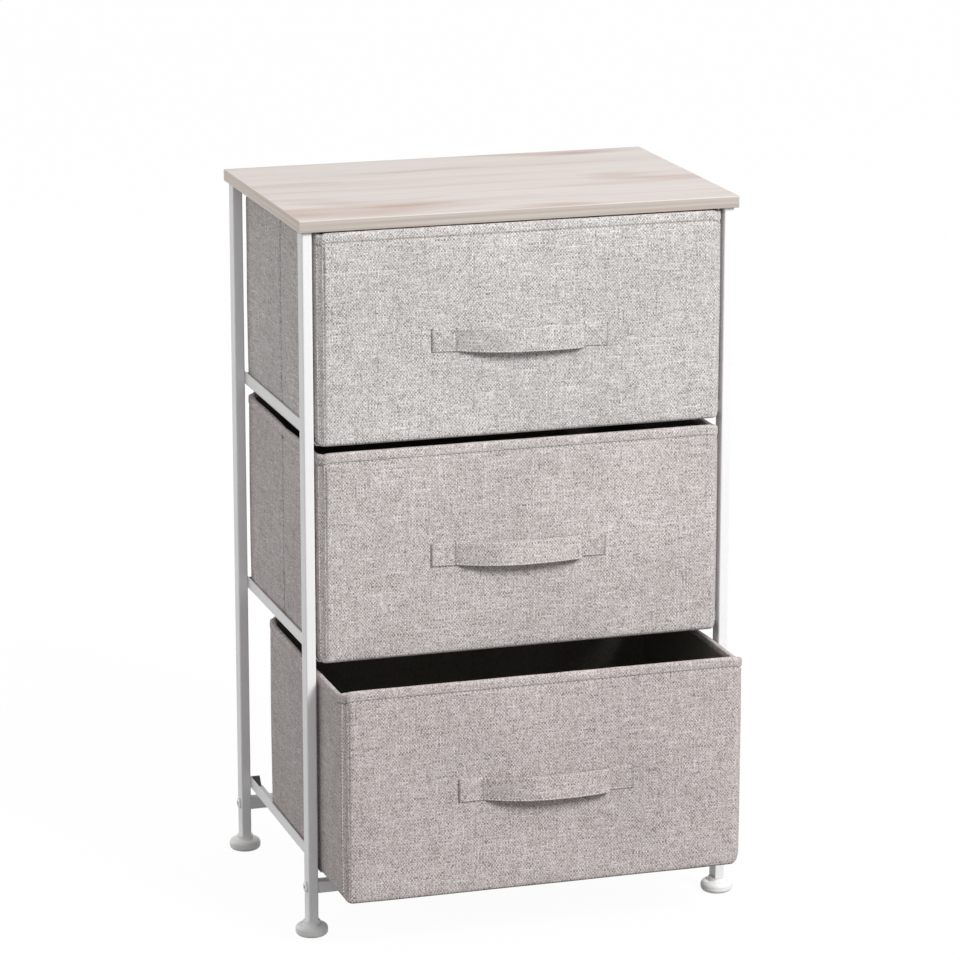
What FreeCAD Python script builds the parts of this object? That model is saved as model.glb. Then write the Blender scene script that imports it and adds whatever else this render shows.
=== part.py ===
import FreeCAD, Part
import math
import os

V = FreeCAD.Vector

# Driving dimensions, in millimetres.
# X runs to the right, Y to the back, Z up; the origin is on the floor under the frame's centre.

# Top panel
panel_width = 451.0
panel_depth = 298.0
panel_thickness = 12.0
overall_height = 730.0
panel_edge_radius = 1.0
panel_side_overhang = 4.0
panel_end_overhang = 4.5

# Posts, upright rectangular tubes
post_width = 10.0
post_depth = 18.0
post_wall = 1.2
post_corner_radius = 1.5

# Levelling feet
pad_radius = 16.3
pad_height = 11.0
pad_base_radius = 12.0
pad_shoulder_radius = 12.0
pad_bulge = 0.75
collar_radius = 8.5
collar_height = 4.0
foot_gap = 0.3
stud_depth_in_pad = 8.0
stud_reach_in_post = 20.0

# Plugs and inserts in the ends of the posts
insert_length = 16.0
insert_wall = 0.7
plug_length = 20.0
plug_wall = 0.5
plug_clearance = 0.1
thread_clearance = 0.05

# Wood screws that hold the plugs to the panel
wood_screw_radius = 1.8
wood_screw_head_height = 2.0
wood_screw_grip = 9.0

# Cross bars low down between the posts
bar_height = 12.5
bar_depth = 12.0
bar_wall = 1.2
bar_centre_height = 50.5
bar_block_length = 18.0

# Bolts through the posts into the cross bars
bolt_radius = 2.5
bolt_head_radius = 5.2
bolt_head_height = 2.4
bolt_edge_radius = 1.4
bolt_reach = 12.0
bolt_hole_clearance = 0.3
bolt_socket_width = 3.0
bolt_socket_depth = 1.4

# Drawer runners, bent sheet steel
runner_bar_gap = 7.25
runner_thickness = 1.2
runner_web_height = 10.8
runner_shoulder_height = 5.0
runner_shoulder_run = 4.3
runner_ledge_width = 17.0
stop_thickness = 1.5
stop_height = 11.0
stop_inset = 1.3
stop_taper = 1.8

# Drawers
drawer_gap = 7.8
drawer_top_gap = 1.8
drawer_side_clearance = 2.3
drawer_back_clearance = 8.0
lowest_drawer_pull = 77.0
cover_thickness = 1.2
cover_corner_radius = 7.0
cover_bottom_radius = 5.0
hem_depth = 12.0
board_thickness = 3.0
board_fold_gap = 3.0
lining_thickness = 0.8
lining_bottom_radius = 2.0
bottom_board_thickness = 3.0
bottom_board_clearance = 0.3

# Strap handles
strap_span = 130.0
strap_tab = 26.0
strap_width = 24.0
strap_thickness = 2.0
strap_bow = 17.0
strap_drop = 111.0

# The frame's corners and sides as signs of X and Y, and the drawers from the lowest up
corners = {
    "front_left": (-1, -1),
    "front_right": (1, -1),
    "back_left": (-1, 1),
    "back_right": (1, 1),
}
sides = {"left": -1, "right": 1}
levels = ["lower", "middle", "upper"]

# Places worked out from the sizes above
same = 1e-4
drawer_count = len(levels)
drawer_wall = cover_thickness + board_thickness
board_corner = max(cover_corner_radius, drawer_wall)
board_lift = max(cover_bottom_radius, cover_thickness)
panel_underside = overall_height - panel_thickness
post_bottom = pad_height + collar_height + foot_gap
post_x = panel_width / 2 - panel_side_overhang - post_width / 2
post_y = panel_depth / 2 - panel_end_overhang - post_depth / 2
post_inner_x = post_x - post_width / 2
post_outer_x = post_x + post_width / 2
post_back_y = post_y + post_depth / 2
plug_half_width = post_width / 2 - post_wall - plug_clearance
stud_radius = plug_half_width - insert_wall
wood_screw_head_radius = plug_half_width - plug_wall
runner_height = bar_centre_height + bar_height / 2 + runner_bar_gap
shoulder_foot = runner_thickness + runner_shoulder_run
shoulder_top = runner_thickness + runner_shoulder_height
stop_width = runner_ledge_width - runner_thickness - stop_inset
stop_face_y = post_back_y - stop_thickness

drawer_height = (
    panel_underside - runner_height - drawer_top_gap
    - drawer_count * runner_thickness - (drawer_count - 1) * drawer_gap
) / drawer_count
runner_pitch = runner_thickness + drawer_height + drawer_gap
drawer_half_width = post_inner_x - runner_thickness - drawer_side_clearance
drawer_front_y = -panel_depth / 2
drawer_back_y = stop_face_y - drawer_back_clearance


def block(x0, x1, y0, y1, z0, z1):
    """A plain box between two corners."""
    return Part.makeBox(x1 - x0, y1 - y0, z1 - z0, V(x0, y0, z0))


def round_upright(shape, radius):
    """Round the upright edges of a box."""
    if radius <= 0:
        return shape
    upright = [e for e in shape.Edges if abs(e.tangentAt(e.FirstParameter).z) > 0.9]
    return shape.makeFillet(radius, upright)


def lies_at(low, high, place):
    """Whether an edge's lowest and highest reach along an axis are both at one place."""
    return abs(low - place) < same and abs(high - place) < same


def round_level(shape, radius, height):
    """Round the edges of a shape that lie at one height."""
    if radius <= 0:
        return shape
    level = [e for e in shape.Edges if lies_at(e.BoundBox.ZMin, e.BoundBox.ZMax, height)]
    return shape.makeFillet(radius, level)


def tray_block(inset, z0, z1, front, back, corner, bottom):
    """A solid the shape of a drawer, drawn in from the outer walls by an inset."""
    half = drawer_half_width - inset
    body = round_upright(block(-half, half, front + inset, back - inset, z0, z1), corner)
    return round_level(body, bottom, z0)


def revolve(points, centre):
    """Turn a closed outline of (radius, height) points and arcs about an upright axis."""
    edges = []
    for item in points:
        spots = [V(r, 0, z) for r, z in item]
        if len(spots) == 2:
            edges.append(Part.makeLine(*spots))
        else:
            edges.append(Part.Arc(*spots).toShape())
    face = Part.Face(Part.Wire(edges))
    solid = face.revolve(V(0, 0, 0), V(0, 0, 1), 360)
    solid.translate(centre)
    return solid


def rod(radius, start, end):
    """A round bar from one point to another."""
    return Part.makeCylinder(radius, (end - start).Length, start, end - start)


def save(name, *solids):
    """Write one node, as one solid or as a group of separate solids."""
    shape = solids[0] if len(solids) == 1 else Part.makeCompound(list(solids))
    shape.exportStep("parts/" + name + ".step")


def top_panel():
    """The laminated top, with a blind pilot hole over each post."""
    body = block(-panel_width / 2, panel_width / 2, -panel_depth / 2, panel_depth / 2,
                 panel_underside, overall_height)
    body = body.makeFillet(panel_edge_radius, body.Edges)
    for sx, sy in corners.values():
        foot = V(sx * post_x, sy * post_y, panel_underside)
        body = body.cut(rod(wood_screw_radius, foot, foot + V(0, 0, wood_screw_grip)))
    return body


def post(sx, sy):
    """One upright tube with clearance holes for its cross bar's bolt."""
    x, y = sx * post_x, sy * post_y
    hw, hd = post_width / 2, post_depth / 2
    outer = round_upright(block(x - hw, x + hw, y - hd, y + hd, post_bottom, panel_underside),
                          post_corner_radius)
    bore = post_bore(sx, sy, 0.0, post_bottom, panel_underside)
    hole = rod(bolt_radius + bolt_hole_clearance,
               V(x - post_width, y, bar_centre_height), V(x + post_width, y, bar_centre_height))
    return outer.cut(bore).cut(hole)


def post_bore(sx, sy, clearance, z0, z1):
    """What fills a post's bore over a stretch of its height, less a clearance all round."""
    hw = post_width / 2 - post_wall - clearance
    hd = post_depth / 2 - post_wall - clearance
    x, y = sx * post_x, sy * post_y
    return block(x - hw, x + hw, y - hd, y + hd, z0, z1)


def foot_insert(sx, sy):
    """The threaded block in the bottom of a post."""
    body = post_bore(sx, sy, plug_clearance, post_bottom, post_bottom + insert_length)
    foot = V(sx * post_x, sy * post_y, post_bottom)
    return body.cut(rod(stud_radius + thread_clearance, foot, foot + V(0, 0, insert_length)))


def foot_pad(sx, sy):
    """The round pad that stands on the floor, with a collar under the post."""
    waist = pad_height / 2
    top = pad_height + collar_height
    low = (pad_base_radius + (pad_radius - pad_base_radius) * pad_bulge, waist * (1 - pad_bulge))
    high = (pad_shoulder_radius + (pad_radius - pad_shoulder_radius) * pad_bulge,
            waist * (1 + pad_bulge))
    outline = [
        [(0, 0), (pad_base_radius, 0)],
        [(pad_base_radius, 0), low, (pad_radius, waist)],
        [(pad_radius, waist), high, (pad_shoulder_radius, pad_height)],
        [(pad_shoulder_radius, pad_height), (collar_radius, pad_height)],
        [(collar_radius, pad_height), (collar_radius, top)],
        [(collar_radius, top), (0, top)],
        [(0, top), (0, 0)],
    ]
    pad = revolve(outline, V(sx * post_x, sy * post_y, 0))
    socket = V(sx * post_x, sy * post_y, top - stud_depth_in_pad)
    return pad.cut(rod(stud_radius + thread_clearance, socket, socket + V(0, 0, top)))


def foot_stud(sx, sy):
    """The threaded stud between a pad and its post."""
    base = V(sx * post_x, sy * post_y, pad_height + collar_height - stud_depth_in_pad)
    tip = V(sx * post_x, sy * post_y, post_bottom + stud_reach_in_post)
    return rod(stud_radius, base, tip)


def top_plug(sx, sy):
    """The plug in the top of a post, bored and recessed for its wood screw."""
    body = post_bore(sx, sy, plug_clearance, panel_underside - plug_length, panel_underside)
    base = V(sx * post_x, sy * post_y, panel_underside - plug_length)
    seat = base + V(0, 0, wood_screw_head_height)
    body = body.cut(rod(wood_screw_head_radius, base, seat))
    return body.cut(rod(wood_screw_radius, seat, base + V(0, 0, plug_length)))


def wood_screw(sx, sy):
    """A wood screw from a plug up into the panel."""
    base = V(sx * post_x, sy * post_y, panel_underside - plug_length)
    seat = base + V(0, 0, wood_screw_head_height)
    tip = base + V(0, 0, plug_length + wood_screw_grip)
    head = rod(wood_screw_head_radius - thread_clearance, base, seat)
    return head.fuse(rod(wood_screw_radius - thread_clearance, base, tip)).removeSplitter()


def cross_bar(sy):
    """A rectangular tube between the two posts of one end of the frame."""
    y = sy * post_y
    hd, hh = bar_depth / 2, bar_height / 2
    outer = block(-post_inner_x, post_inner_x, y - hd, y + hd,
                  bar_centre_height - hh, bar_centre_height + hh)
    long_edges = [e for e in outer.Edges if abs(e.tangentAt(e.FirstParameter).x) > 0.9]
    outer = outer.makeFillet(post_corner_radius, long_edges)
    bore = block(-post_inner_x, post_inner_x, y - hd + bar_wall, y + hd - bar_wall,
                 bar_centre_height - hh + bar_wall, bar_centre_height + hh - bar_wall)
    return outer.cut(bore)


def bar_block(sx, sy):
    """The threaded block in one end of a cross bar."""
    y = sy * post_y
    hd = bar_depth / 2 - bar_wall - plug_clearance
    hh = bar_height / 2 - bar_wall - plug_clearance
    near, far = sorted((sx * post_inner_x, sx * (post_inner_x - bar_block_length)))
    body = block(near, far, y - hd, y + hd, bar_centre_height - hh, bar_centre_height + hh)
    hole = rod(bolt_radius + thread_clearance,
               V(near, y, bar_centre_height), V(far, y, bar_centre_height))
    return body.cut(hole)


def bar_bolt(sx, sy):
    """A pan-head bolt with a hexagon socket, from a post's outer face into a cross bar."""
    y = sy * post_y
    face = V(sx * post_outer_x, y, bar_centre_height)
    out = V(sx, 0, 0)
    crown = face + out * bolt_head_height
    head = rod(bolt_head_radius, face, crown)
    rim = [e for e in head.Edges if lies_at(e.BoundBox.XMin, e.BoundBox.XMax, crown.x)]
    head = head.makeFillet(bolt_edge_radius, rim)
    shank = rod(bolt_radius, face, face - out * (post_width + bolt_reach))
    socket = Part.Face(Part.makePolygon(hexagon(crown, bolt_socket_width / 2)))
    return head.fuse(shank).removeSplitter().cut(socket.extrude(out * -bolt_socket_depth))


def hexagon(centre, inner_radius):
    """The closed corner points of an upright hexagon facing along X."""
    spots = []
    step = FreeCAD.Rotation(V(1, 0, 0), 60)
    arm = V(0, inner_radius / 0.75 ** 0.5, 0)
    for _ in range(7):
        spots.append(centre + arm)
        arm = step.multVec(arm)
    return spots


def runner_base(level):
    """Height of the underside of a runner's ledge."""
    return runner_height + level * runner_pitch


def rail_solid(side, level, outline, front, back):
    """A solid along Y from an outline of (inward, up) points on the inner face of the posts."""
    spots = [V(post_inner_x - inward, front, runner_base(level) + up) for inward, up in outline]
    body = Part.Face(Part.makePolygon(spots + spots[:1])).extrude(V(0, back - front, 0))
    return body if side > 0 else body.mirror(V(0, 0, 0), V(1, 0, 0))


def runner(side, level):
    """A bent steel runner: a web on the posts, a sloping shoulder, and a ledge under the drawer."""
    lean = math.atan2(runner_shoulder_run, runner_shoulder_height)
    upper_bend = runner_thickness * math.tan(lean / 2)
    lower_bend = runner_thickness * math.tan(math.pi / 4 - lean / 2)
    top = shoulder_top + runner_web_height
    outline = [
        (0, top),
        (runner_thickness, top),
        (runner_thickness, shoulder_top),
        (shoulder_foot, runner_thickness),
        (runner_ledge_width, runner_thickness),
        (runner_ledge_width, 0),
        (shoulder_foot - lower_bend, 0),
        (0, shoulder_top - upper_bend),
    ]
    return rail_solid(side, level, outline, -post_y, post_back_y)


def runner_stop(side, level):
    """The tapered plate that stands on the back end of a runner's ledge."""
    edge = runner_thickness + stop_width
    top = runner_thickness + stop_height
    outline = [
        (runner_thickness, top),
        (runner_thickness, shoulder_top),
        (shoulder_foot, runner_thickness),
        (edge, runner_thickness),
        (edge - stop_taper, top),
    ]
    return rail_solid(side, level, outline, stop_face_y, post_back_y)


def drawer_cover(z, front, back):
    """The woven outer cover, open at the top, with its hem folded over the boards."""
    top = z + drawer_height
    skin = cover_thickness
    mouth = drawer_wall + skin
    outer = tray_block(0, z, top, front, back, cover_corner_radius, cover_bottom_radius)
    pocket = tray_block(skin, z + skin, top - skin, front, back,
                        cover_corner_radius - skin, cover_bottom_radius - skin)
    opening = tray_block(mouth, top - hem_depth, top, front, back, cover_corner_radius - mouth, 0)
    hem = tray_block(drawer_wall, top - hem_depth, top - skin, front, back,
                     cover_corner_radius - drawer_wall, 0)
    return outer.cut(pocket).fuse(hem).cut(opening).removeSplitter()


def drawer_lining(z, front, back):
    """The dark lining inside the boards, below the folded hem."""
    top = z + drawer_height - hem_depth
    inner = drawer_wall + lining_thickness
    base = z + cover_thickness
    outer = tray_block(drawer_wall, base, top, front, back, cover_corner_radius - drawer_wall,
                       lining_bottom_radius)
    hollow = tray_block(inner, base + lining_thickness, top, front, back,
                        cover_corner_radius - inner, lining_bottom_radius - lining_thickness)
    return outer.cut(hollow)


def wall_board(outer_line, inner_line, z):
    """An upright board between an outer line and an inner line, seen from above."""
    low = z + board_lift
    high = z + drawer_height - cover_thickness
    spots = [V(x, y, low) for x, y in outer_line + inner_line[::-1]]
    return Part.Face(Part.makePolygon(spots + spots[:1])).extrude(V(0, 0, high - low))


def end_board(z, front, back, end):
    """The stiffening board of a drawer's front or back, with mitred ends."""
    outer_y = front + cover_thickness if end < 0 else back - cover_thickness
    inner_y = outer_y - end * board_thickness
    half_out = drawer_half_width - board_corner
    half_in = drawer_half_width - drawer_wall
    return wall_board([(-half_out, outer_y), (half_out, outer_y)],
                      [(-half_in, inner_y), (half_in, inner_y)], z)


def side_boards(z, front, back, side):
    """The two half boards of a drawer's side, apart at the fold line."""
    outer_x = side * (drawer_half_width - cover_thickness)
    inner_x = outer_x - side * board_thickness
    middle = (front + back) / 2
    halves = []
    for end, edge in ((-1, front), (1, back)):
        fold_y = middle + end * board_fold_gap / 2
        far_out = edge - end * board_corner
        far_in = edge - end * drawer_wall
        halves.append(wall_board([(outer_x, fold_y), (outer_x, far_out)],
                                 [(inner_x, fold_y), (inner_x, far_in)], z))
    return halves


def bottom_board(z, front, back):
    """The loose board that lies in the bottom of a drawer."""
    inset = drawer_wall + lining_bottom_radius + bottom_board_clearance
    base = z + cover_thickness + lining_thickness
    return tray_block(inset, base, base + bottom_board_thickness, front, back,
                      cover_corner_radius - inset, 0)


def handle_strap(z, front):
    """The strap on a drawer's front, sewn flat at both ends and bowed out between them."""
    base = z + drawer_height - strap_drop - strap_width / 2
    half = strap_span / 2
    end = half + strap_tab
    face, skin, crest = front, front - strap_thickness, front - strap_bow

    def spot(x, y):
        return V(x, y, base)

    edges = [
        Part.makeLine(spot(-half, face), spot(-end, face)),
        Part.makeLine(spot(-end, face), spot(-end, skin)),
        Part.makeLine(spot(-end, skin), spot(-half, skin)),
        Part.Arc(spot(-half, skin), spot(0, crest - strap_thickness), spot(half, skin)).toShape(),
        Part.makeLine(spot(half, skin), spot(end, skin)),
        Part.makeLine(spot(end, skin), spot(end, face)),
        Part.makeLine(spot(end, face), spot(half, face)),
        Part.Arc(spot(half, face), spot(0, crest), spot(-half, face)).toShape(),
    ]
    return Part.Face(Part.Wire(edges)).extrude(V(0, 0, strap_width))


def save_drawer(name, level, pull):
    """Write all the pieces of one drawer, drawn forward by a pull."""
    z = runner_base(level) + runner_thickness
    front, back = drawer_front_y - pull, drawer_back_y - pull
    save(name + "_drawer_cover", drawer_cover(z, front, back))
    save(name + "_drawer_lining", drawer_lining(z, front, back))
    save(name + "_drawer_front_board", end_board(z, front, back, -1))
    save(name + "_drawer_back_board", end_board(z, front, back, 1))
    for side_name, side in sides.items():
        save(name + "_drawer_" + side_name + "_boards", *side_boards(z, front, back, side))
    save(name + "_drawer_bottom_board", bottom_board(z, front, back))
    save(name + "_drawer_handle", handle_strap(z, front))


def main():
    """Build every node of the dresser."""
    os.makedirs("parts", exist_ok=True)
    save("top_panel", top_panel())
    for name, corner in corners.items():
        save(name + "_post", post(*corner))
        save(name + "_foot_pad", foot_pad(*corner))
        save(name + "_foot_stud", foot_stud(*corner))
    save("foot_inserts", *[foot_insert(*corner) for corner in corners.values()])
    save("top_plugs", *[top_plug(*corner) for corner in corners.values()])
    save("top_plug_screws", *[wood_screw(*corner) for corner in corners.values()])
    save("front_cross_bar", cross_bar(-1))
    save("back_cross_bar", cross_bar(1))
    save("cross_bar_blocks", *[bar_block(*corner) for corner in corners.values()])
    save("cross_bar_bolts", *[bar_bolt(*corner) for corner in corners.values()])
    for level, level_name in enumerate(levels):
        for side_name, side in sides.items():
            save(level_name + "_" + side_name + "_runner", runner(side, level))
        save_drawer(level_name, level, lowest_drawer_pull if level == 0 else 0.0)
    stops = [runner_stop(side, level) for level in range(drawer_count) for side in sides.values()]
    save("runner_stops", *stops)


main()
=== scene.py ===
"""Looks of the fabric drawer dresser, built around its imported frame.

The steel frame, the top board and the foot pads keep the frame's shapes and get a finish here.
The drawers' woven covers, linings, side boards, strap handles and sewing are modelled here, and
so are the threads of the feet's studs.
Lengths are metres in the frame's own axes: X to the right, Y to the back, Z up.
"""
import itertools
import logging
import math
from dataclasses import dataclass
from enum import Enum
from functools import cache
from typing import Iterable

import bmesh
import bpy
from mathutils import Matrix, Vector, noise


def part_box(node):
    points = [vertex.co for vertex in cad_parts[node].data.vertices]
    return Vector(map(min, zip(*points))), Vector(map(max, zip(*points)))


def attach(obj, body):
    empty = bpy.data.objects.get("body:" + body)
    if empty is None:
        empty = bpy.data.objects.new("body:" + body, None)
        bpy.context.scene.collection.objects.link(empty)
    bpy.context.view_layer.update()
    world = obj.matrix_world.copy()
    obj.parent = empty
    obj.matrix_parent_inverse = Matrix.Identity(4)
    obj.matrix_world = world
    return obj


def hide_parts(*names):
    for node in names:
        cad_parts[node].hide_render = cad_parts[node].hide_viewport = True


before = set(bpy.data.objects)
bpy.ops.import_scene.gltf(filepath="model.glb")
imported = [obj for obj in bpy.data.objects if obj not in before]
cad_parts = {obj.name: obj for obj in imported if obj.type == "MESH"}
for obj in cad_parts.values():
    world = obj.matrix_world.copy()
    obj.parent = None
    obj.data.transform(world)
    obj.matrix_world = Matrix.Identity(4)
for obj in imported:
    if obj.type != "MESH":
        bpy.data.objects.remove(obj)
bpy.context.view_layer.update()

LOG = logging.getLogger("dresser")
MM = 0.001
TINY = 1e-6
FACES_DOWN = -0.7
FLAT_DOWN = -0.9
SLOPE_TO_FLAT = (0.5, 0.9)
SHARP_ANGLE = 1.0
QUARTER_TURN = math.pi / 2.0
ROUNDING_LEVELS = 1
# Attribute that carries painted shade: darker cloth in seams, rows of stitches, folds, the bottom's round
# edge and over the strap.
PAINTED_SHADE_ATTRIBUTE = "painted_shade"
CLOTH_MAP = "cloth"
X_AXIS = Vector((1.0, 0.0, 0.0))
Y_AXIS = Vector((0.0, 1.0, 0.0))
Z_AXIS = Vector((0.0, 0.0, 1.0))
SHADER_SOCKETS = {
    "colour": "Base Color",
    "roughness": "Roughness",
    "metallic": "Metallic",
    "specular": "Specular IOR Level",
    "sheen": "Sheen Weight",
    "sheen_roughness": "Sheen Roughness",
}

Socket = bpy.types.NodeSocket
Colour = tuple[float, float, float, float]
Feed = Socket | float | Colour
Band = tuple[float, float]
Wave = tuple[float, float]
Spot = tuple[float, float]


class Coordinates(Enum):
    """Where a finish reads the place of its pattern."""

    OBJECT = "Object"
    CLOTH = "UV"


@dataclass(frozen=True)
class DrawerTrim:
    """What sets one drawer apart from the others.

    Attributes:
        label: The word that the drawer's nodes start with.
        cut: Where on the roll its cloth was cut, in metres.
        painted_level_shade: Painted shade: share of the cloth's plain colour that is kept, less for the
            lower drawers.
        rim_lift: How far the rim stands above the board's edge, in metres.
        sag: How far the bottom hangs down between the runners, in metres.
        lip: How much lower the front edge of the bottom hangs, in metres.
        side_low: How much lower the rims of the sides lie than those of the front and back, in metres.
        hem_mark: How dark the painted shade along the hem's row of stitches is, from 0 to 1.
        strap_shift: How far the strap is sewn to the right of the middle, in metres.
        strap_rise: How far it is sewn above its set height, in metres.
        strap_tilt: Rise of the strap for each metre to the right.
        strap_bow: How far the strap's centre line bows out, in metres.
    """

    label: str
    cut: float
    painted_level_shade: Colour
    rim_lift: float
    sag: float
    lip: float
    side_low: float
    hem_mark: float
    strap_shift: float
    strap_rise: float
    strap_tilt: float
    strap_bow: float


class Level(Enum):
    """The drawers, from the lowest up."""

    LOWER = DrawerTrim(
        label="lower", cut=0.37, painted_level_shade=(0.89, 0.84, 0.842, 1.0),
        rim_lift=2.4 * MM, sag=2.4 * MM, lip=3.6 * MM, side_low=6.2 * MM, hem_mark=0.32,
        strap_shift=1.0 * MM, strap_rise=1.2 * MM, strap_tilt=-0.0146, strap_bow=10.5 * MM)
    MIDDLE = DrawerTrim(
        label="middle", cut=1.91, painted_level_shade=(0.955, 0.92, 0.922, 1.0),
        rim_lift=2.4 * MM, sag=0.6 * MM, lip=0.0, side_low=3.7 * MM, hem_mark=0.32,
        strap_shift=-3.7 * MM, strap_rise=1.7 * MM, strap_tilt=-0.0107, strap_bow=10.0 * MM)
    UPPER = DrawerTrim(
        label="upper", cut=3.16, painted_level_shade=(1.0, 1.0, 1.0, 1.0),
        rim_lift=0.5 * MM, sag=0.6 * MM, lip=0.0, side_low=0.0, hem_mark=0.25,
        strap_shift=-2.5 * MM, strap_rise=-2.7 * MM, strap_tilt=-0.0236, strap_bow=8.5 * MM)

    @property
    def label(self) -> str:
        """The word that the level's nodes start with."""
        return self.value.label


class Corner(Enum):
    """The frame's corners."""

    FRONT_LEFT = "front_left"
    FRONT_RIGHT = "front_right"
    BACK_LEFT = "back_left"
    BACK_RIGHT = "back_right"


class Side(Enum):
    """The frame's two sides, as the sign of X."""

    LEFT = -1
    RIGHT = 1

    @property
    def label(self) -> str:
        """The side's word in the names of nodes and pieces."""
        return self.name.lower()


def paint(red: int, green: int, blue: int) -> Colour:
    """Turn a colour written as on a screen into the shader's linear light.

    Args:
        red: Red share, 0 to 255.
        green: Green share, 0 to 255.
        blue: Blue share, 0 to 255.

    Returns:
        The colour in linear light, opaque.
    """
    shares = [c / 255 for c in (red, green, blue)]
    linear = [c / 12.92 if c <= 0.04045 else ((c + 0.055) / 1.055) ** 2.4 for c in shares]
    return (linear[0], linear[1], linear[2], 1.0)


def hump(distance: float, width: float) -> float:
    """A smooth bump of height 1 at distance 0 that fades over a width."""
    return math.exp(-((distance / width) ** 2))


def step_up(value: float, start: float, end: float) -> float:
    """A smooth step from 0 at start to 1 at end."""
    share = min(1.0, max(0.0, (value - start) / (end - start)))
    return share * share * (3.0 - 2.0 * share)


class NodeGraph:
    """A material's node tree, with short calls for the nodes that the finishes use."""

    def __init__(self, name: str) -> None:
        """Start a material with its one shader.

        Args:
            name: The material's name.
        """
        self.material = bpy.data.materials.new(name)
        self.material.use_nodes = True
        self.tree = self.material.node_tree
        self.shader = self.tree.nodes["Principled BSDF"]

    def feed(self, socket: Socket, value: Feed) -> None:
        """Link a socket to an output, or set the socket's own value.

        Args:
            socket: The socket to feed.
            value: An output, or a plain value.
        """
        if isinstance(value, bpy.types.NodeSocket):
            self.tree.links.new(value, socket)
        else:
            socket.default_value = value

    def add(self, kind: str, **feeds: Feed) -> bpy.types.Node:
        """Add a node and feed its sockets.

        Args:
            kind: The node's type, less the words ShaderNode.
            feeds: Values or outputs by the socket's name, in small letters.

        Returns:
            The new node.
        """
        node = self.tree.nodes.new("ShaderNode" + kind)
        for key, value in feeds.items():
            self.feed(node.inputs[key.replace("_", " ").title()], value)
        return node

    def place(self, coordinates: Coordinates) -> Socket:
        """The place on the piece that a pattern is read from."""
        return self.add("TexCoord").outputs[coordinates.value]

    def split(self, vector: Socket) -> tuple[Socket, Socket, Socket]:
        """The three parts of a vector."""
        x, y, z = self.add("SeparateXYZ", vector=vector).outputs
        return x, y, z

    def join(self, x: Feed, y: Feed, z: Feed = 0.0) -> Socket:
        """A vector from its parts."""
        return self.add("CombineXYZ", x=x, y=y, z=z).outputs[0]

    def math(self, operation: str, first: Feed, second: Feed = 0.0) -> Socket:
        """A sum, product or other operation on one or two numbers.

        Args:
            operation: The operation's name.
            first: The first number.
            second: The second number, where there is one.

        Returns:
            The result.
        """
        node = self.tree.nodes.new("ShaderNodeMath")
        node.operation = operation
        self.feed(node.inputs[0], first)
        self.feed(node.inputs[1], second)
        return node.outputs[0]

    def blend(self, first: Feed, second: Feed, share: float) -> Socket:
        """A share of one number and the rest of another."""
        rest = self.math("MULTIPLY", second, 1.0 - share)
        return self.math("ADD", self.math("MULTIPLY", first, share), rest)

    def scaled(self, vector: Socket, x: float, y: float, z: float) -> Socket:
        """A vector stretched along its axes."""
        return self.add("Mapping", vector=vector, scale=(x, y, z)).outputs[0]

    def noise(self, vector: Socket, detail: float = 2.0, scale: float = 1.0) -> Socket:
        """Soft noise between 0 and 1 over a vector."""
        return self.add("TexNoise", vector=vector, scale=scale, detail=detail).outputs[0]

    def span(self, value: Socket, low: float, high: float, start: float, end: float) -> Socket:
        """Spread the stretch from low to high over start to end."""
        feeds = {"from_min": low, "from_max": high, "to_min": start, "to_max": end}
        return self.add("MapRange", value=value, **feeds).outputs[0]

    def mix(self, share: Feed, first: Feed, second: Feed, blend: str = "MIX") -> Socket:
        """Two colours mixed by a share.

        Args:
            share: Share of the second colour.
            first: The first colour.
            second: The second colour.
            blend: How they are mixed.

        Returns:
            The mixed colour.
        """
        node = self.tree.nodes.new("ShaderNodeMix")
        node.data_type = "RGBA"
        node.blend_type = blend
        for index, value in ((0, share), (6, first), (7, second)):
            self.feed(node.inputs[index], value)
        return node.outputs[2]

    def ramp(self, value: Socket, stops: Iterable[tuple[float, Colour]]) -> Socket:
        """A colour read from a ramp.

        Args:
            value: The number that picks the colour.
            stops: Places on the ramp and their colours, in order; two or more.

        Returns:
            The colour.
        """
        node = self.add("ValToRGB", fac=value)
        listed = list(stops)
        elements = node.color_ramp.elements
        for _ in listed[2:]:
            elements.new(0.5)
        for element, (position, colour) in zip(elements, listed):
            element.position = position
            element.color = colour
        return node.outputs[0]

    def attribute(self, name: str) -> Socket:
        """A number kept at the piece's points.

        Args:
            name: The attribute's name.

        Returns:
            The number.
        """
        node = self.add("Attribute")
        node.attribute_name = name
        return node.outputs["Fac"]

    def surface(self, **values: Feed) -> None:
        """Set sockets of the shader by name, in small letters."""
        for key, value in values.items():
            self.feed(self.shader.inputs[SHADER_SOCKETS[key]], value)

    def relief(self, height: Socket, strength: float, depth: float) -> None:
        """Raise the surface by a height, as fine relief of a depth in metres."""
        node = self.add("Bump", height=height, strength=strength, distance=depth)
        self.feed(self.shader.inputs["Normal"], node.outputs[0])


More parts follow.
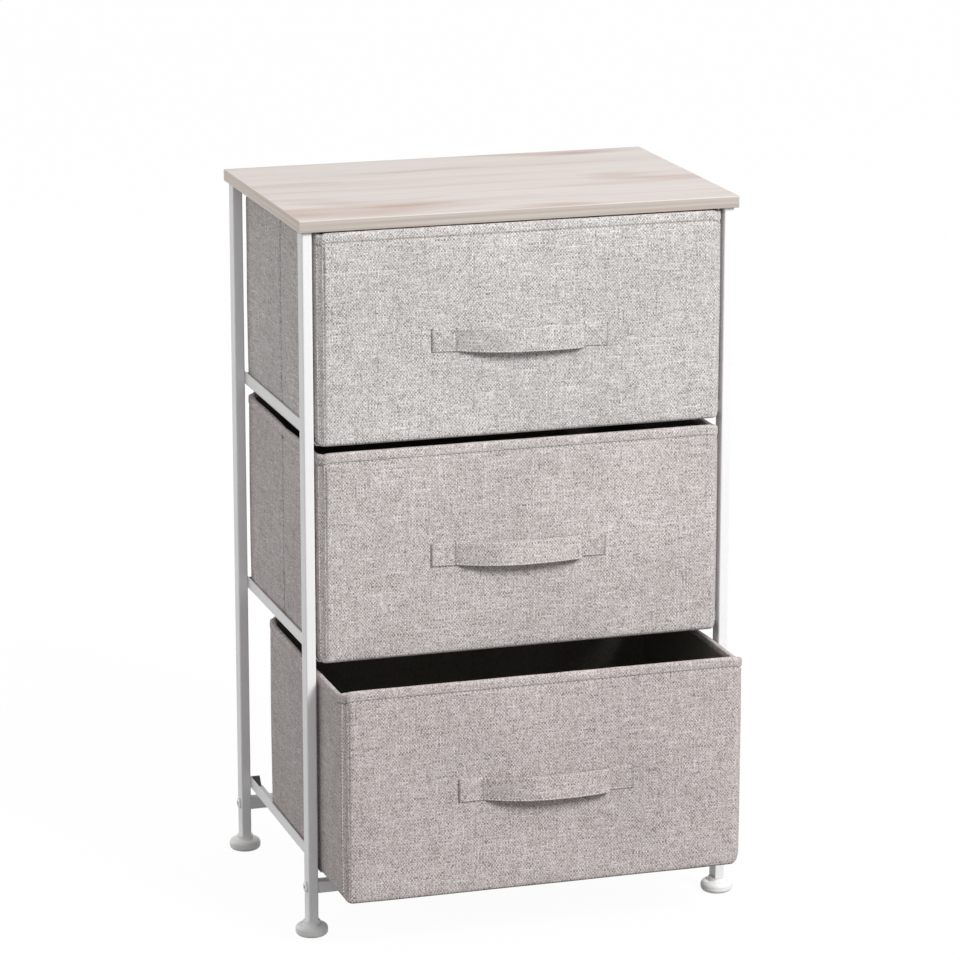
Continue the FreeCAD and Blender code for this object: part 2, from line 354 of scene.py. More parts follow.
@dataclass(frozen=True)
class LinenWeave:
    """Heathered plain-weave cloth: light and dark yarn mixed thread by thread.

    Attributes:
        name: The material's name.
        painted_level_shade: Painted shade: share of the plain colour that is kept, less for the lower
            drawers.
        dark: The darkest yarn.
        middle: The usual yarn.
        light: The lightest yarn.
        warp_pitch: Width of a warp thread, in metres.
        weft_pitch: Width of a weft thread, in metres.
        thread_step: How far apart in the noise neighbouring threads lie.
        fibres: Specks across one thread.
        speckle: Share of the specks in a thread's tone.
        check: How much lighter the warp shows, and darker the weft.
        slub: Length of a light or dark spot on a thread, in metres.
        slub_share: Share of such spots in the tone; the streaks have the rest.
        streak: Length of a thick or thin stretch of a thread, in metres.
        streak_seed: A value that sets streaks apart from spots.
        clouds: Lighter and darker clouds a metre.
        cloud_depth: How much the clouds lighten and darken the cloth.
        seam_shade: Share of the colour that is left where the painted shade is full, deep in a seam, fold
            or edge.
        relief: Height of the threads, in metres.
    """

    name: str
    painted_level_shade: Colour
    dark: Colour = paint(122, 115, 111)
    middle: Colour = paint(206, 201, 198)
    light: Colour = paint(242, 240, 239)
    warp_pitch: float = 1.56 * MM
    weft_pitch: float = 1.8 * MM
    thread_step: float = 7.31
    fibres: float = 2.0
    speckle: float = 0.52
    check: float = 0.12
    slub: float = 2.1 * MM
    slub_share: float = 0.7
    streak: float = 22.0 * MM
    streak_seed: float = 5.0
    clouds: float = 9.0
    cloud_depth: float = 0.06
    seam_shade: float = 0.42
    relief: float = 0.25 * MM

    def tone(self, graph: NodeGraph, number: Socket, along: Socket, seed: float) -> Socket:
        """How light a thread is at a place along it.

        Args:
            graph: The node tree.
            number: The thread's number.
            along: Metres along the thread.
            seed: A value that sets warp and weft apart.

        Returns:
            A number near 0 for dark yarn and near 1 for light yarn.
        """
        apart = graph.math("MULTIPLY", number, self.thread_step)
        short = graph.math("DIVIDE", along, self.slub)
        long = graph.math("DIVIDE", along, self.streak)
        slubs = graph.noise(graph.join(apart, short, seed))
        streaks = graph.noise(graph.join(apart, long, seed + self.streak_seed), detail=1.0)
        mixed = graph.blend(slubs, streaks, self.slub_share)
        thick = graph.span(streaks, 0.6, 0.74, 0.0, 0.5)
        thin = graph.span(streaks, 0.26, 0.4, -0.3, 0.0)
        return graph.math("ADD", graph.span(mixed, 0.34, 0.66, 0.0, 1.0), graph.math("ADD", thick, thin))

    @staticmethod
    def crown(graph: NodeGraph, place: Socket) -> Socket:
        """How high a thread's round back stands, from 0 at its edges to 1 along its middle."""
        return graph.math("SINE", graph.math("MULTIPLY", graph.math("FRACT", place), math.pi))

    @cache
    def material(self) -> bpy.types.Material:
        """Make the cloth's material.

        Returns:
            The material.
        """
        graph = NodeGraph(self.name)
        u, v, _ = graph.split(graph.place(Coordinates.CLOTH))
        across = graph.math("DIVIDE", u, self.warp_pitch)
        up = graph.math("DIVIDE", v, self.weft_pitch)
        warp, weft = graph.math("FLOOR", across), graph.math("FLOOR", up)
        over = graph.math("PINGPONG", graph.math("ADD", warp, weft), 1.0)
        warp_tone = self.tone(graph, warp, v, seed=1.7)
        weft_tone = self.tone(graph, weft, u, seed=9.2)
        fine = [graph.math("FLOOR", graph.math("MULTIPLY", c, self.fibres)) for c in (across, up)]
        speck = graph.add("TexWhiteNoise", vector=graph.join(*fine)).outputs["Value"]
        yarns = graph.mix(self.speckle, graph.mix(over, weft_tone, warp_tone), speck)
        tone = graph.math("ADD", yarns, graph.span(over, 0.0, 1.0, -self.check, self.check))
        yarn = graph.ramp(tone, ((0.0, self.dark), (0.5, self.middle), (1.0, self.light)))
        height = graph.mix(over, self.crown(graph, up), self.crown(graph, across))
        clouds = graph.noise(graph.join(u, v), detail=4.0, scale=self.clouds)
        cloudy = graph.span(clouds, 0.3, 0.7, 1.0 - self.cloud_depth, 1.0 + self.cloud_depth)
        # Painted shade from the attribute: darker cloth in seams, folds, edges and over the strap's free
        # part.
        painted_shade = graph.span(graph.attribute(PAINTED_SHADE_ATTRIBUTE), 0.0, 1.0, 1.0, self.seam_shade)
        # Painted shade between the threads: darker where a thread's round back falls away.
        shaded = graph.math("MULTIPLY", graph.span(height, 0.0, 1.0, 0.88, 1.03), cloudy)
        shaded = graph.math("MULTIPLY", shaded, painted_shade)
        # Painted shade by level: the lower drawers' cloth is darker.
        level_shaded = graph.mix(1.0, yarn, self.painted_level_shade, "MULTIPLY")
        graph.surface(colour=graph.mix(1.0, level_shaded, shaded, "MULTIPLY"), roughness=0.92, specular=0.18)
        graph.surface(sheen=0.12, sheen_roughness=0.6)
        graph.relief(height, strength=0.7, depth=self.relief)
        return graph.material


@dataclass(frozen=True)
class NonWoven:
    """Dark bonded lining with a grid of pressed dots."""

    name: str = "dark_non_woven"
    dark: Colour = paint(96, 92, 86)
    light: Colour = paint(136, 131, 123)
    dot_pitch: float = 1.6 * MM
    fibre_share: float = 0.7
    relief: float = 0.3 * MM

    @cache
    def material(self) -> bpy.types.Material:
        """Make the lining's material.

        Returns:
            The material.
        """
        graph = NodeGraph(self.name)
        place = graph.place(Coordinates.OBJECT)
        grid = 1.0 / self.dot_pitch
        cells = graph.add("TexVoronoi", vector=place, scale=grid, randomness=0.25).outputs[0]
        fibres = graph.noise(graph.scaled(place, 900.0, 500.0, 700.0), detail=3.0)
        tone = graph.blend(fibres, graph.noise(place, scale=14.0), self.fibre_share)
        graph.surface(colour=graph.ramp(tone, ((0.3, self.dark), (0.75, self.light))))
        graph.surface(roughness=0.95, specular=0.12)
        graph.relief(graph.math("ADD", cells, fibres), strength=0.5, depth=self.relief)
        return graph.material


@dataclass(frozen=True)
class SewingThread:
    """Pale twisted thread."""

    name: str = "sewing_thread"
    dark: Colour = paint(212, 205, 200)
    light: Colour = paint(250, 246, 243)
    twist: float = 0.5 * MM
    relief: float = 0.1 * MM

    @cache
    def material(self) -> bpy.types.Material:
        """Make the thread's material.

        Returns:
            The material.
        """
        graph = NodeGraph(self.name)
        place = graph.place(Coordinates.OBJECT)
        x, y, z = graph.split(place)
        slant = graph.math("ADD", graph.math("ADD", x, y), z)
        turns = graph.math("PINGPONG", graph.math("DIVIDE", slant, self.twist), 1.0)
        tone = graph.blend(turns, graph.noise(place, scale=160.0), share=0.5)
        graph.surface(colour=graph.ramp(tone, ((0.15, self.dark), (0.8, self.light))))
        graph.surface(roughness=0.8, specular=0.25)
        graph.relief(turns, strength=0.6, depth=self.relief)
        return graph.material


@dataclass(frozen=True)
class WoodLaminate:
    """Pale wood-grain laminate with the grain along X, and a slightly darker edge band.

    Attributes:
        name: The material's name.
        vein: Darkest tone of the face.
        middle: Usual tone of the face.
        pale: Lightest tone of the face.
        smudge: Brown stains along the grain.
        edge_vein: Darkest tone of the edge band.
        edge_middle: Usual tone of the edge band.
        edge_pale: Lightest tone of the edge band.
        painted_side_light: Painted light: how much lighter the band is on the two short edges.
        painted_edge_highlight: Painted highlight along the top of the edge band.
        top: Height of the face, in metres.
        edge_highlight_band: How far below the face the painted highlight starts and is full, in metres.
        wander: How far the grain wanders, in metres.
        band_share: Share of the broad bands in the tone; the fine lines have the rest.
        relief: Depth of the grain, in metres.
    """

    name: str = "pale_wood_laminate"
    vein: Colour = paint(203, 191, 185)
    middle: Colour = paint(214, 205, 200)
    pale: Colour = paint(220, 212, 208)
    smudge: Colour = paint(178, 149, 133)
    edge_vein: Colour = paint(183, 171, 161)
    edge_middle: Colour = paint(189, 180, 172)
    edge_pale: Colour = paint(198, 189, 182)
    painted_side_light: float = 1.55
    painted_edge_highlight: Colour = paint(222, 214, 208)
    top: float = 0.73
    edge_highlight_band: Band = (1.5 * MM, 0.9 * MM)
    wander: float = 0.03
    band_share: float = 0.55
    relief: float = 0.08 * MM

    @cache
    def material(self) -> bpy.types.Material:
        """Make the laminate's material.

        Returns:
            The material.
        """
        graph = NodeGraph(self.name)
        x, y, z = graph.split(graph.place(Coordinates.OBJECT))
        turned = self.facing(graph, 0)
        along = graph.mix(turned, x, y)
        across = graph.mix(turned, y, x)
        slow = graph.noise(graph.join(graph.math("MULTIPLY", along, 3.0), across, z))
        line = graph.math("ADD", across, graph.math("MULTIPLY", slow, self.wander))
        place = (along, line, z)
        bands = graph.noise(self.grain(graph, place, long=1.6, fine=26.0), detail=3.0)
        lines = graph.noise(self.grain(graph, place, long=5.0, fine=190.0), detail=3.0)
        pores = graph.noise(self.grain(graph, place, long=42.0, fine=900.0))
        tone = graph.blend(bands, lines, self.band_share)
        face = graph.ramp(tone, ((0.34, self.vein), (0.46, self.middle), (0.64, self.pale)))
        stains = graph.noise(self.grain(graph, place, long=5.0, fine=24.0), detail=1.0)
        stain = graph.span(stains, 0.56, 0.74, 0.0, 0.8)
        stain = graph.math("MULTIPLY", stain, graph.span(lines, 0.35, 0.65, 0.5, 1.0))
        face = graph.mix(stain, face, self.smudge)
        streaks = graph.noise(self.grain(graph, (along, across, z), long=2.5, fine=330.0))
        tones = ((0.32, self.edge_vein), (0.46, self.edge_middle), (0.64, self.edge_pale))
        band = graph.ramp(streaks, tones)
        # Painted light: the band is lighter on the short edges, which face the sides.
        band = graph.mix(1.0, band, graph.span(turned, 0.0, 1.0, 1.0, self.painted_side_light), "MULTIPLY")
        # Painted highlight along the top of the edge band.
        start, full = (self.top - below for below in self.edge_highlight_band)
        band = graph.mix(graph.span(z, start, full, 0.0, 0.5), band, self.painted_edge_highlight)
        level = graph.span(self.facing(graph, 2), 0.35, 0.8, 0.0, 1.0)
        fine = graph.span(pores, 0.3, 0.45, 0.97, 1.0)
        colour = graph.mix(1.0, graph.mix(level, band, face), fine, "MULTIPLY")
        graph.surface(colour=colour, roughness=graph.span(lines, 0.3, 0.7, 0.6, 0.7), specular=0.2)
        graph.relief(graph.math("ADD", pores, lines), strength=0.25, depth=self.relief)
        return graph.material

    @staticmethod
    def facing(graph: NodeGraph, axis: int) -> Socket:
        """How squarely the surface faces one axis, from 0 to 1."""
        parts = graph.split(graph.add("NewGeometry").outputs["Normal"])
        return graph.math("ABSOLUTE", parts[axis])

    @staticmethod
    def grain(graph: NodeGraph, place: tuple[Socket, Socket, Socket], long: float, fine: float) -> Socket:
        """A place along, across and up the grain, with so many features a metre along and across it."""
        scaled = [graph.math("MULTIPLY", part, times) for part, times in zip(place, (long, fine, fine))]
        return graph.join(*scaled)


@dataclass(frozen=True)
class CoatedSurface:
    """A coat of paint, powder or moulded plastic with fine orange peel.

    Attributes:
        name: The material's name.
        dark: Darkest tone.
        light: Lightest tone.
        roughness: Mean roughness.
        specular: Strength of its gloss.
        peel: Width of the orange peel's bumps, in metres.
        depth: Their height, in metres.
        cloud_share: Share of soft clouds in the tone; fine specks have the rest.
        uneven: How much the roughness goes up and down.
    """

    name: str
    dark: Colour
    light: Colour
    roughness: float
    specular: float = 0.4
    peel: float = 1.4 * MM
    depth: float = 0.04 * MM
    cloud_share: float = 0.6
    uneven: float = 0.05

    @cache
    def material(self) -> bpy.types.Material:
        """Make the coat's material.

        Returns:
            The material.
        """
        graph = NodeGraph(self.name)
        place = graph.place(Coordinates.OBJECT)
        clouds = graph.noise(place, detail=3.0, scale=9.0)
        tone = graph.blend(clouds, graph.noise(place, scale=420.0), self.cloud_share)
        smooth, rough = self.roughness - self.uneven, self.roughness + self.uneven
        graph.surface(colour=graph.ramp(tone, ((0.3, self.dark), (0.7, self.light))))
        graph.surface(roughness=graph.span(graph.noise(place, scale=35.0), 0.3, 0.7, smooth, rough))
        graph.surface(specular=self.specular)
        graph.relief(graph.noise(place, scale=1.0 / self.peel), strength=0.35, depth=self.depth)
        return graph.material


@dataclass(frozen=True)
class ZincSteel:
    """Bright zinc-plated steel, faintly brushed."""

    name: str = "zinc_steel"
    dark: Colour = paint(158, 158, 162)
    light: Colour = paint(214, 214, 217)
    relief: float = 0.03 * MM

    @cache
    def material(self) -> bpy.types.Material:
        """Make the plated steel's material.

        Returns:
            The material.
        """
        graph = NodeGraph(self.name)
        place = graph.place(Coordinates.OBJECT)
        brushed = graph.noise(graph.scaled(place, 300.0, 2200.0, 2200.0))
        graph.surface(colour=graph.ramp(brushed, ((0.3, self.dark), (0.7, self.light))), metallic=1.0)
        graph.surface(roughness=graph.span(brushed, 0.3, 0.7, 0.28, 0.42))
        graph.relief(brushed, strength=0.2, depth=self.relief)
        return graph.material


@dataclass(frozen=True)
class GreyBoard:
    """Pressed grey board, as inside the drawers' walls."""

    name: str = "grey_board"
    dark: Colour = paint(134, 121, 106)
    light: Colour = paint(170, 156, 138)
    relief: float = 0.15 * MM

    @cache
    def material(self) -> bpy.types.Material:
        """Make the board's material.

        Returns:
            The material.
        """
        graph = NodeGraph(self.name)
        place = graph.place(Coordinates.OBJECT)
        fibres = graph.noise(graph.scaled(place, 260.0, 420.0, 420.0), detail=4.0)
        graph.surface(colour=graph.ramp(fibres, ((0.3, self.dark), (0.7, self.light))))
        graph.surface(roughness=0.95, specular=0.1)
        graph.relief(fibres, strength=0.4, depth=self.relief)
        return graph.material


LINEN = {level: LinenWeave(f"linen_weave_{level.label}", level.value.painted_level_shade) for level in Level}
LINING = NonWoven()
THREAD = SewingThread()
WOOD = WoodLaminate()
POWDER = CoatedSurface("white_powder_coat", paint(239, 238, 239), paint(246, 245, 246), 0.42)
# Painted shade: the runners' white steel stops get a dark grey coat where they lie in shade.
PAINTED_SHADE_COAT = CoatedSurface("painted_shade_coat", paint(108, 107, 106), paint(122, 121, 120), 0.55)
PLASTIC = CoatedSurface("white_plastic", paint(240, 239, 238), paint(247, 246, 245), 0.38,
                        specular=0.45, peel=2.5 * MM, depth=0.02 * MM)
DARK_PLASTIC = CoatedSurface("dark_plastic", paint(46, 46, 47), paint(56, 56, 57), 0.5)
ZINC = ZincSteel()
BOARD = GreyBoard()
Finish = LinenWeave | NonWoven | SewingThread | WoodLaminate | CoatedSurface | ZincSteel | GreyBoard


def dress(node: str, finish: Finish) -> None:
    """Give a node of the frame its finish.

    Args:
        node: The node's name.
        finish: The finish of its surface.
    """
    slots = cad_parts[node].data.materials
    slots.clear()
    slots.append(finish.material())
    LOG.info("dressed %s in %s", node, finish.name)


def make_piece(
    name: str, mesh: bmesh.types.BMesh, finish: Finish, body: str, smooth: bool = True,
) -> bpy.types.Object:
    """Turn a finished bmesh into a piece that rides on a body.

    Args:
        name: The piece's name.
        mesh: The shape, freed here.
        finish: The finish of its surface.
        body: The body that it moves with.
        smooth: Whether its faces are shaded as one curved surface.

    Returns:
        The new object.
    """
    for face in mesh.faces:
        face.smooth = smooth
    data = bpy.data.meshes.new(name)
    mesh.to_mesh(data)
    mesh.free()
    data.materials.append(finish.material())
    piece = bpy.data.objects.new(name, data)
    bpy.context.scene.collection.objects.link(piece)
    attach(piece, body)
    LOG.info("made %s, riding on %s", name, body)
    return piece


def thicken(piece: bpy.types.Object, thickness: float, offset: float) -> None:
    """Give a sheet its thickness and round it with a subdivision.

    Args:
        piece: The sheet.
        thickness: Metres.
        offset: -1 to grow against the normals, 1 to grow along them.
    """
    solid = piece.modifiers.new("cloth_thickness", "SOLIDIFY")
    solid.thickness = thickness
    solid.offset = offset
    solid.use_even_offset = True
    rounded = piece.modifiers.new("rounding", "SUBSURF")
    rounded.levels = ROUNDING_LEVELS
    rounded.render_levels = ROUNDING_LEVELS


def add_box(mesh: bmesh.types.BMesh, low: Vector, high: Vector) -> None:
    """Add a plain box to a mesh.

    Args:
        mesh: The mesh.
        low: The box's lowest corner.
        high: Its highest corner.
    """
    stretch = Matrix.Diagonal((*(high - low), 1.0))
    bmesh.ops.create_cube(mesh, size=1.0, matrix=Matrix.Translation((low + high) / 2.0) @ stretch)


def round_edges(
    mesh: bmesh.types.BMesh, edges: list[bmesh.types.BMEdge], radius: float, segments: int,
) -> None:
    """Round some edges of a mesh.

    Args:
        mesh: The mesh.
        edges: Its edges to round.
        radius: Metres.
        segments: Facets of the round.
    """
    bmesh.ops.bevel(mesh, geom=edges, offset=radius, segments=segments, profile=0.5,
                    affect="EDGES", material=-1)


def upright_edges(mesh: bmesh.types.BMesh) -> list[bmesh.types.BMEdge]:
    """The edges of a box that run up."""
    return [e for e in mesh.edges if abs(e.verts[0].co.z - e.verts[1].co.z) > 1.0 * MM]


def edges_below(mesh: bmesh.types.BMesh, height: float) -> list[bmesh.types.BMEdge]:
    """The edges that lie at a height or below it."""
    return [e for e in mesh.edges if max(v.co.z for v in e.verts) < height + TINY]


def top_face(mesh: bmesh.types.BMesh) -> bmesh.types.BMFace:
    """The highest face."""
    return max(mesh.faces, key=lambda face: face.calc_center_median().z)


def slice_mesh(mesh: bmesh.types.BMesh, axis: Vector, places: Iterable[float]) -> None:
    """Cut a mesh by planes square to an axis, so that it has points there.

    Args:
        mesh: The mesh.
        axis: The planes' normal.
        places: Where the planes stand along the axis.
    """
    for place in places:
        everything = mesh.verts[:] + mesh.edges[:] + mesh.faces[:]
        bmesh.ops.bisect_plane(mesh, geom=everything, dist=TINY, plane_co=axis * place, plane_no=axis)


def evenly(start: float, end: float, pitch: float) -> list[float]:
    """Places between two ends, about a pitch apart, less the ends."""
    count = max(1, round((end - start) / pitch))
    return [start + (end - start) * i / count for i in range(1, count)]


def close_to(place: float, reaches: Iterable[float]) -> list[float]:
    """Cuts on both sides of a seam or crease, and on it."""
    return [place] + [place + sign * reach for reach in reaches for sign in (-1, 1)]


@dataclass(frozen=True)
class RoundedOutline:
    """A rectangle with round corners seen from above, walked from the middle of its back to the left.

    The walk goes along the back, the left side, the front and the right side, and the
    distance walked is where a point lies on the cloth that goes round.
    """

    half_width: float
    front: float
    back: float
    radius: float

    @property
    def flat_half(self) -> float:
        """Half of the straight stretch of the front."""
        return self.half_width - self.radius

    @property
    def flat_side(self) -> float:
        """The straight stretch of a side."""
        return self.back - self.front - 2.0 * self.radius

    @property
    def depth_mid(self) -> float:
        """Half-way from the front to the back."""
        return (self.front + self.back) / 2.0

    @property
    def arc(self) -> float:
        """Length of one round corner."""
        return self.radius * QUARTER_TURN

    @property
    def length(self) -> float:
        """The whole way round."""
        return 4.0 * self.flat_half + 2.0 * self.flat_side + 4.0 * self.arc

    def stretches(self) -> list[tuple[float, Vector, float, float]]:
        """The walk, stretch by stretch.

        Returns:
            Each stretch's length, start, heading angle, and turn over the stretch.
        """
        half, radius = self.flat_half, self.radius
        to_left, to_front = math.pi, 1.5 * math.pi
        return [
            (half, Vector((0.0, self.back, 0.0)), to_left, 0.0),
            (self.arc, Vector((-half, self.back, 0.0)), to_left, QUARTER_TURN),
            (self.flat_side, Vector((-self.half_width, self.back - radius, 0.0)), to_front, 0.0),
            (self.arc, Vector((-self.half_width, self.front + radius, 0.0)), to_front, QUARTER_TURN),
            (2.0 * half, Vector((-half, self.front, 0.0)), 0.0, 0.0),
            (self.arc, Vector((half, self.front, 0.0)), 0.0, QUARTER_TURN),
            (self.flat_side, Vector((self.half_width, self.front + radius, 0.0)), QUARTER_TURN, 0.0),
            (self.arc, Vector((self.half_width, self.back - radius, 0.0)), QUARTER_TURN, QUARTER_TURN),
            (half, Vector((half, self.back, 0.0)), to_left, 0.0),
        ]

    def at(self, walked: float) -> tuple[Vector, Vector]:
        """The point and the outward normal at a distance walked.

        Args:
            walked: Metres from the middle of the back.

        Returns:
            The point, at height 0, and the normal there.
        """
        rest = walked % self.length
        for length, start, heading, turn in self.stretches():
            if rest <= length:
                break
            rest -= length
        if turn:
            angle = heading - QUARTER_TURN
            centre = start - self.radius * Vector((math.cos(angle), math.sin(angle), 0.0))
            angle += rest / self.radius
            normal = Vector((math.cos(angle), math.sin(angle), 0.0))
            return centre + self.radius * normal, normal
        along = Vector((math.cos(heading), math.sin(heading), 0.0))
        return start + rest * along, Vector((along.y, -along.x, 0.0))

    def corner_at(self, side: Side) -> float:
        """The distance walked to the middle of a front corner."""
        to_left = self.flat_half + self.flat_side + 1.5 * self.arc
        return to_left if side is Side.LEFT else to_left + 2.0 * self.flat_half + self.arc

    def past_straight(self, point: Vector) -> tuple[float, float]:
        """How far a point lies past the straight stretches, across and along the depth."""
        return abs(point.x) - self.flat_half, abs(point.y - self.depth_mid) - self.flat_side / 2.0

    def walked(self, point: Vector) -> float:
        """How far round a point lies.

        Args:
            point: A point on or a little inside the outline.

        Returns:
            Metres from the middle of the back.
        """
        half = self.flat_half
        past_x, past_y = self.past_straight(point)
        left = half + self.arc
        front = left + self.flat_side + self.arc
        right = front + 2.0 * half + self.arc
        if past_x > 0.0 and past_y > 0.0:
            turned = math.atan2(past_y, past_x) * self.radius
            if point.x < 0.0:
                return left - turned if point.y > self.depth_mid else left + self.flat_side + turned
            return right + self.flat_side + turned if point.y > self.depth_mid else right - turned
        if past_x / self.half_width > past_y / self.flat_side and past_x > past_y:
            down = self.back - self.radius - point.y
            return left + down if point.x < 0.0 else right + self.flat_side - down
        if point.y < self.depth_mid:
            return front + half + point.x
        return -point.x if point.x <= 0.0 else self.length - point.x

    def inset(self, point: Vector) -> float:
        """How far inside the outline a point lies.

        Args:
            point: The point.

        Returns:
            Metres inwards.
        """
        past_x, past_y = self.past_straight(point)
        if past_x > 0.0 and past_y > 0.0:
            return self.radius - math.hypot(past_x, past_y)
        return self.radius - max(past_x, past_y)


@dataclass(frozen=True)
class Sewing:
    """A row of stitches, each a short plump length of thread.

    Attributes:
        stitch: Length of a stitch, in metres.
        pitch: From one stitch to the next, in metres.
        thickness: Height of a stitch, in metres.
        plump: Its width for each unit of height.
        sunk: How deep it lies in the cloth, in metres.
    """

    stitch: float
    pitch: float
    thickness: float
    plump: float = 1.3
    sunk: float = 0.1 * MM

    def sew(self, mesh: bmesh.types.BMesh, path: list[tuple[Vector, Vector]]) -> None:
        """Sew along a path on a surface.

        Args:
            mesh: The bmesh that takes the stitches.
            path: Points on the surface with the surface's normals.
        """
        walked = self.pitch / 2.0
        for (start, normal), (end, _) in zip(path, path[1:]):
            run = end - start
            while walked <= run.length:
                self.one(mesh, start + run.normalized() * walked, run.normalized(), normal)
                walked += self.pitch
            walked -= run.length

    def one(self, mesh: bmesh.types.BMesh, middle: Vector, along: Vector, normal: Vector) -> None:
        """Lay one stitch.

        Args:
            mesh: The bmesh that takes it.
            middle: The point of the surface under its middle.
            along: The direction that it lies in.
            normal: The surface's outward normal.
        """
        beside = normal.cross(along).normalized()
        away = along.cross(beside)
        centre = middle + away * (self.thickness / 2.0 - self.sunk)
        turned = Matrix((along, beside, away)).transposed().to_4x4()
        shape = Matrix.Diagonal((self.stitch, self.thickness * self.plump, self.thickness, 1.0))
        matrix = Matrix.Translation(centre) @ turned @ shape
        bmesh.ops.create_icosphere(mesh, subdivisions=1, radius=0.5, matrix=matrix)


HEM_ROW = Sewing(stitch=3.2 * MM, pitch=4.2 * MM, thickness=0.75 * MM)
CORNER_ROW = Sewing(stitch=2.2 * MM, pitch=3.4 * MM, thickness=0.9 * MM)
STRAP_ROW = Sewing(stitch=2.4 * MM, pitch=3.6 * MM, thickness=0.8 * MM)
BOX_ROW = Sewing(stitch=1.6 * MM, pitch=3.0 * MM, thickness=0.4 * MM)


@dataclass(frozen=True)
class Drape:
    """How the woven cloth lies over a drawer's boards, in metres; marks and shares from 0 to 1.

    A wave is its height and its number a metre. A band is where something starts and where it
    is full, measured from the edge that its words name.

    Attributes:
        roll_step: How far apart in the noise cloth cut one metre apart lies.
        wall_waves: Waves of the outer walls.
        under_wave: Wave of the bottom.
        fold_wave: Wave of the rim and the folded hem.
        belly: How far a wall stands out half-way up.
        hem_step: How far the doubled cloth above the hem's stitches stands out.
        hem_fade: Height over which that step rises.
        seam_depth: How deep a seam or row of stitches lies.
        seam_width: How wide it is.
        seam_end: How far below the hem's stitches a corner seam fades out.
        seam_foot: Share of a corner seam that is left at the bottom.
        seam_mark: How dark the painted shade in a corner seam is.
        foot_mark: How dark the painted shade on the round edge of the bottom is.
        corner_flat: How much flatter than round the upright corners are.
        crease_depth: How deep the fold of a side lies.
        crease_width: How wide that fold is.
        crease_mark: How dark the painted shade in that fold is.
        crease_mark_width: How wide that line of painted shade is.
        hollow_depth: How deep the side is hollowed at the fold.
        hollow_reach: How far the hollow reaches to both sides.
        rim_dip: How far the rim of a side may dip at its fold.
        dip_reach: How far that dip reaches to both sides.
        side_band: From the side walls: where the side's lower rim starts and is full.
        side_ends: From the front and back: where the side's lower rim starts to rise and ends.
        side_height: How far below the rim the side's cloth is drawn down.
        rim_corner: How much lower the rim lies at its corners.
        corner_reach: How far from a corner it drops.
        corner_height: How far below the rim it drops.
        ledge_band: From the side walls: where the bottom is free of the runners' ledges, and on them.
        lip_taper: Share of the front lip that is lost at the side walls.
        lip_ends: How far from the side walls it tapers.
        lip_band: From the front: where the lip ends over the ledges.
        sag_band: From the front: where the lip ends between the ledges.
        lip_slant: Share by which the lip hangs lower at the right.
        sag_height: How far above the bottom the walls follow its sag.
    """

    roll_step: float = 17.0
    wall_waves: tuple[Wave, ...] = ((0.3 * MM, 9.0), (0.16 * MM, 31.0))
    under_wave: Wave = (0.2 * MM, 14.0)
    fold_wave: Wave = (0.25 * MM, 40.0)
    belly: float = 0.5 * MM
    hem_step: float = 0.6 * MM
    hem_fade: float = 1.6 * MM
    seam_depth: float = 0.9 * MM
    seam_width: float = 1.1 * MM
    seam_end: float = 3.0 * MM
    seam_foot: float = 0.45
    seam_mark: float = 0.75
    foot_mark: float = 0.7
    corner_flat: float = 2.05 * MM
    crease_depth: float = 1.5 * MM
    crease_width: float = 1.7 * MM
    crease_mark: float = 0.5
    crease_mark_width: float = 1.2 * MM
    hollow_depth: float = 0.7 * MM
    hollow_reach: float = 22.0 * MM
    rim_dip: float = 2.4 * MM
    dip_reach: float = 40.0 * MM
    side_band: Band = (13.0 * MM, 5.0 * MM)
    side_ends: Band = (16.0 * MM, 4.0 * MM)
    side_height: float = 60.0 * MM
    rim_corner: float = 4.0 * MM
    corner_reach: float = 11.0 * MM
    corner_height: float = 40.0 * MM
    ledge_band: Band = (34.0 * MM, 15.0 * MM)
    lip_taper: float = 0.8
    lip_ends: float = 10.0 * MM
    lip_band: Band = (3.8 * MM, 6.0 * MM)
    sag_band: Band = (4.0 * MM, 80.0 * MM)
    lip_slant: float = 0.14
    sag_height: float = 45.0 * MM


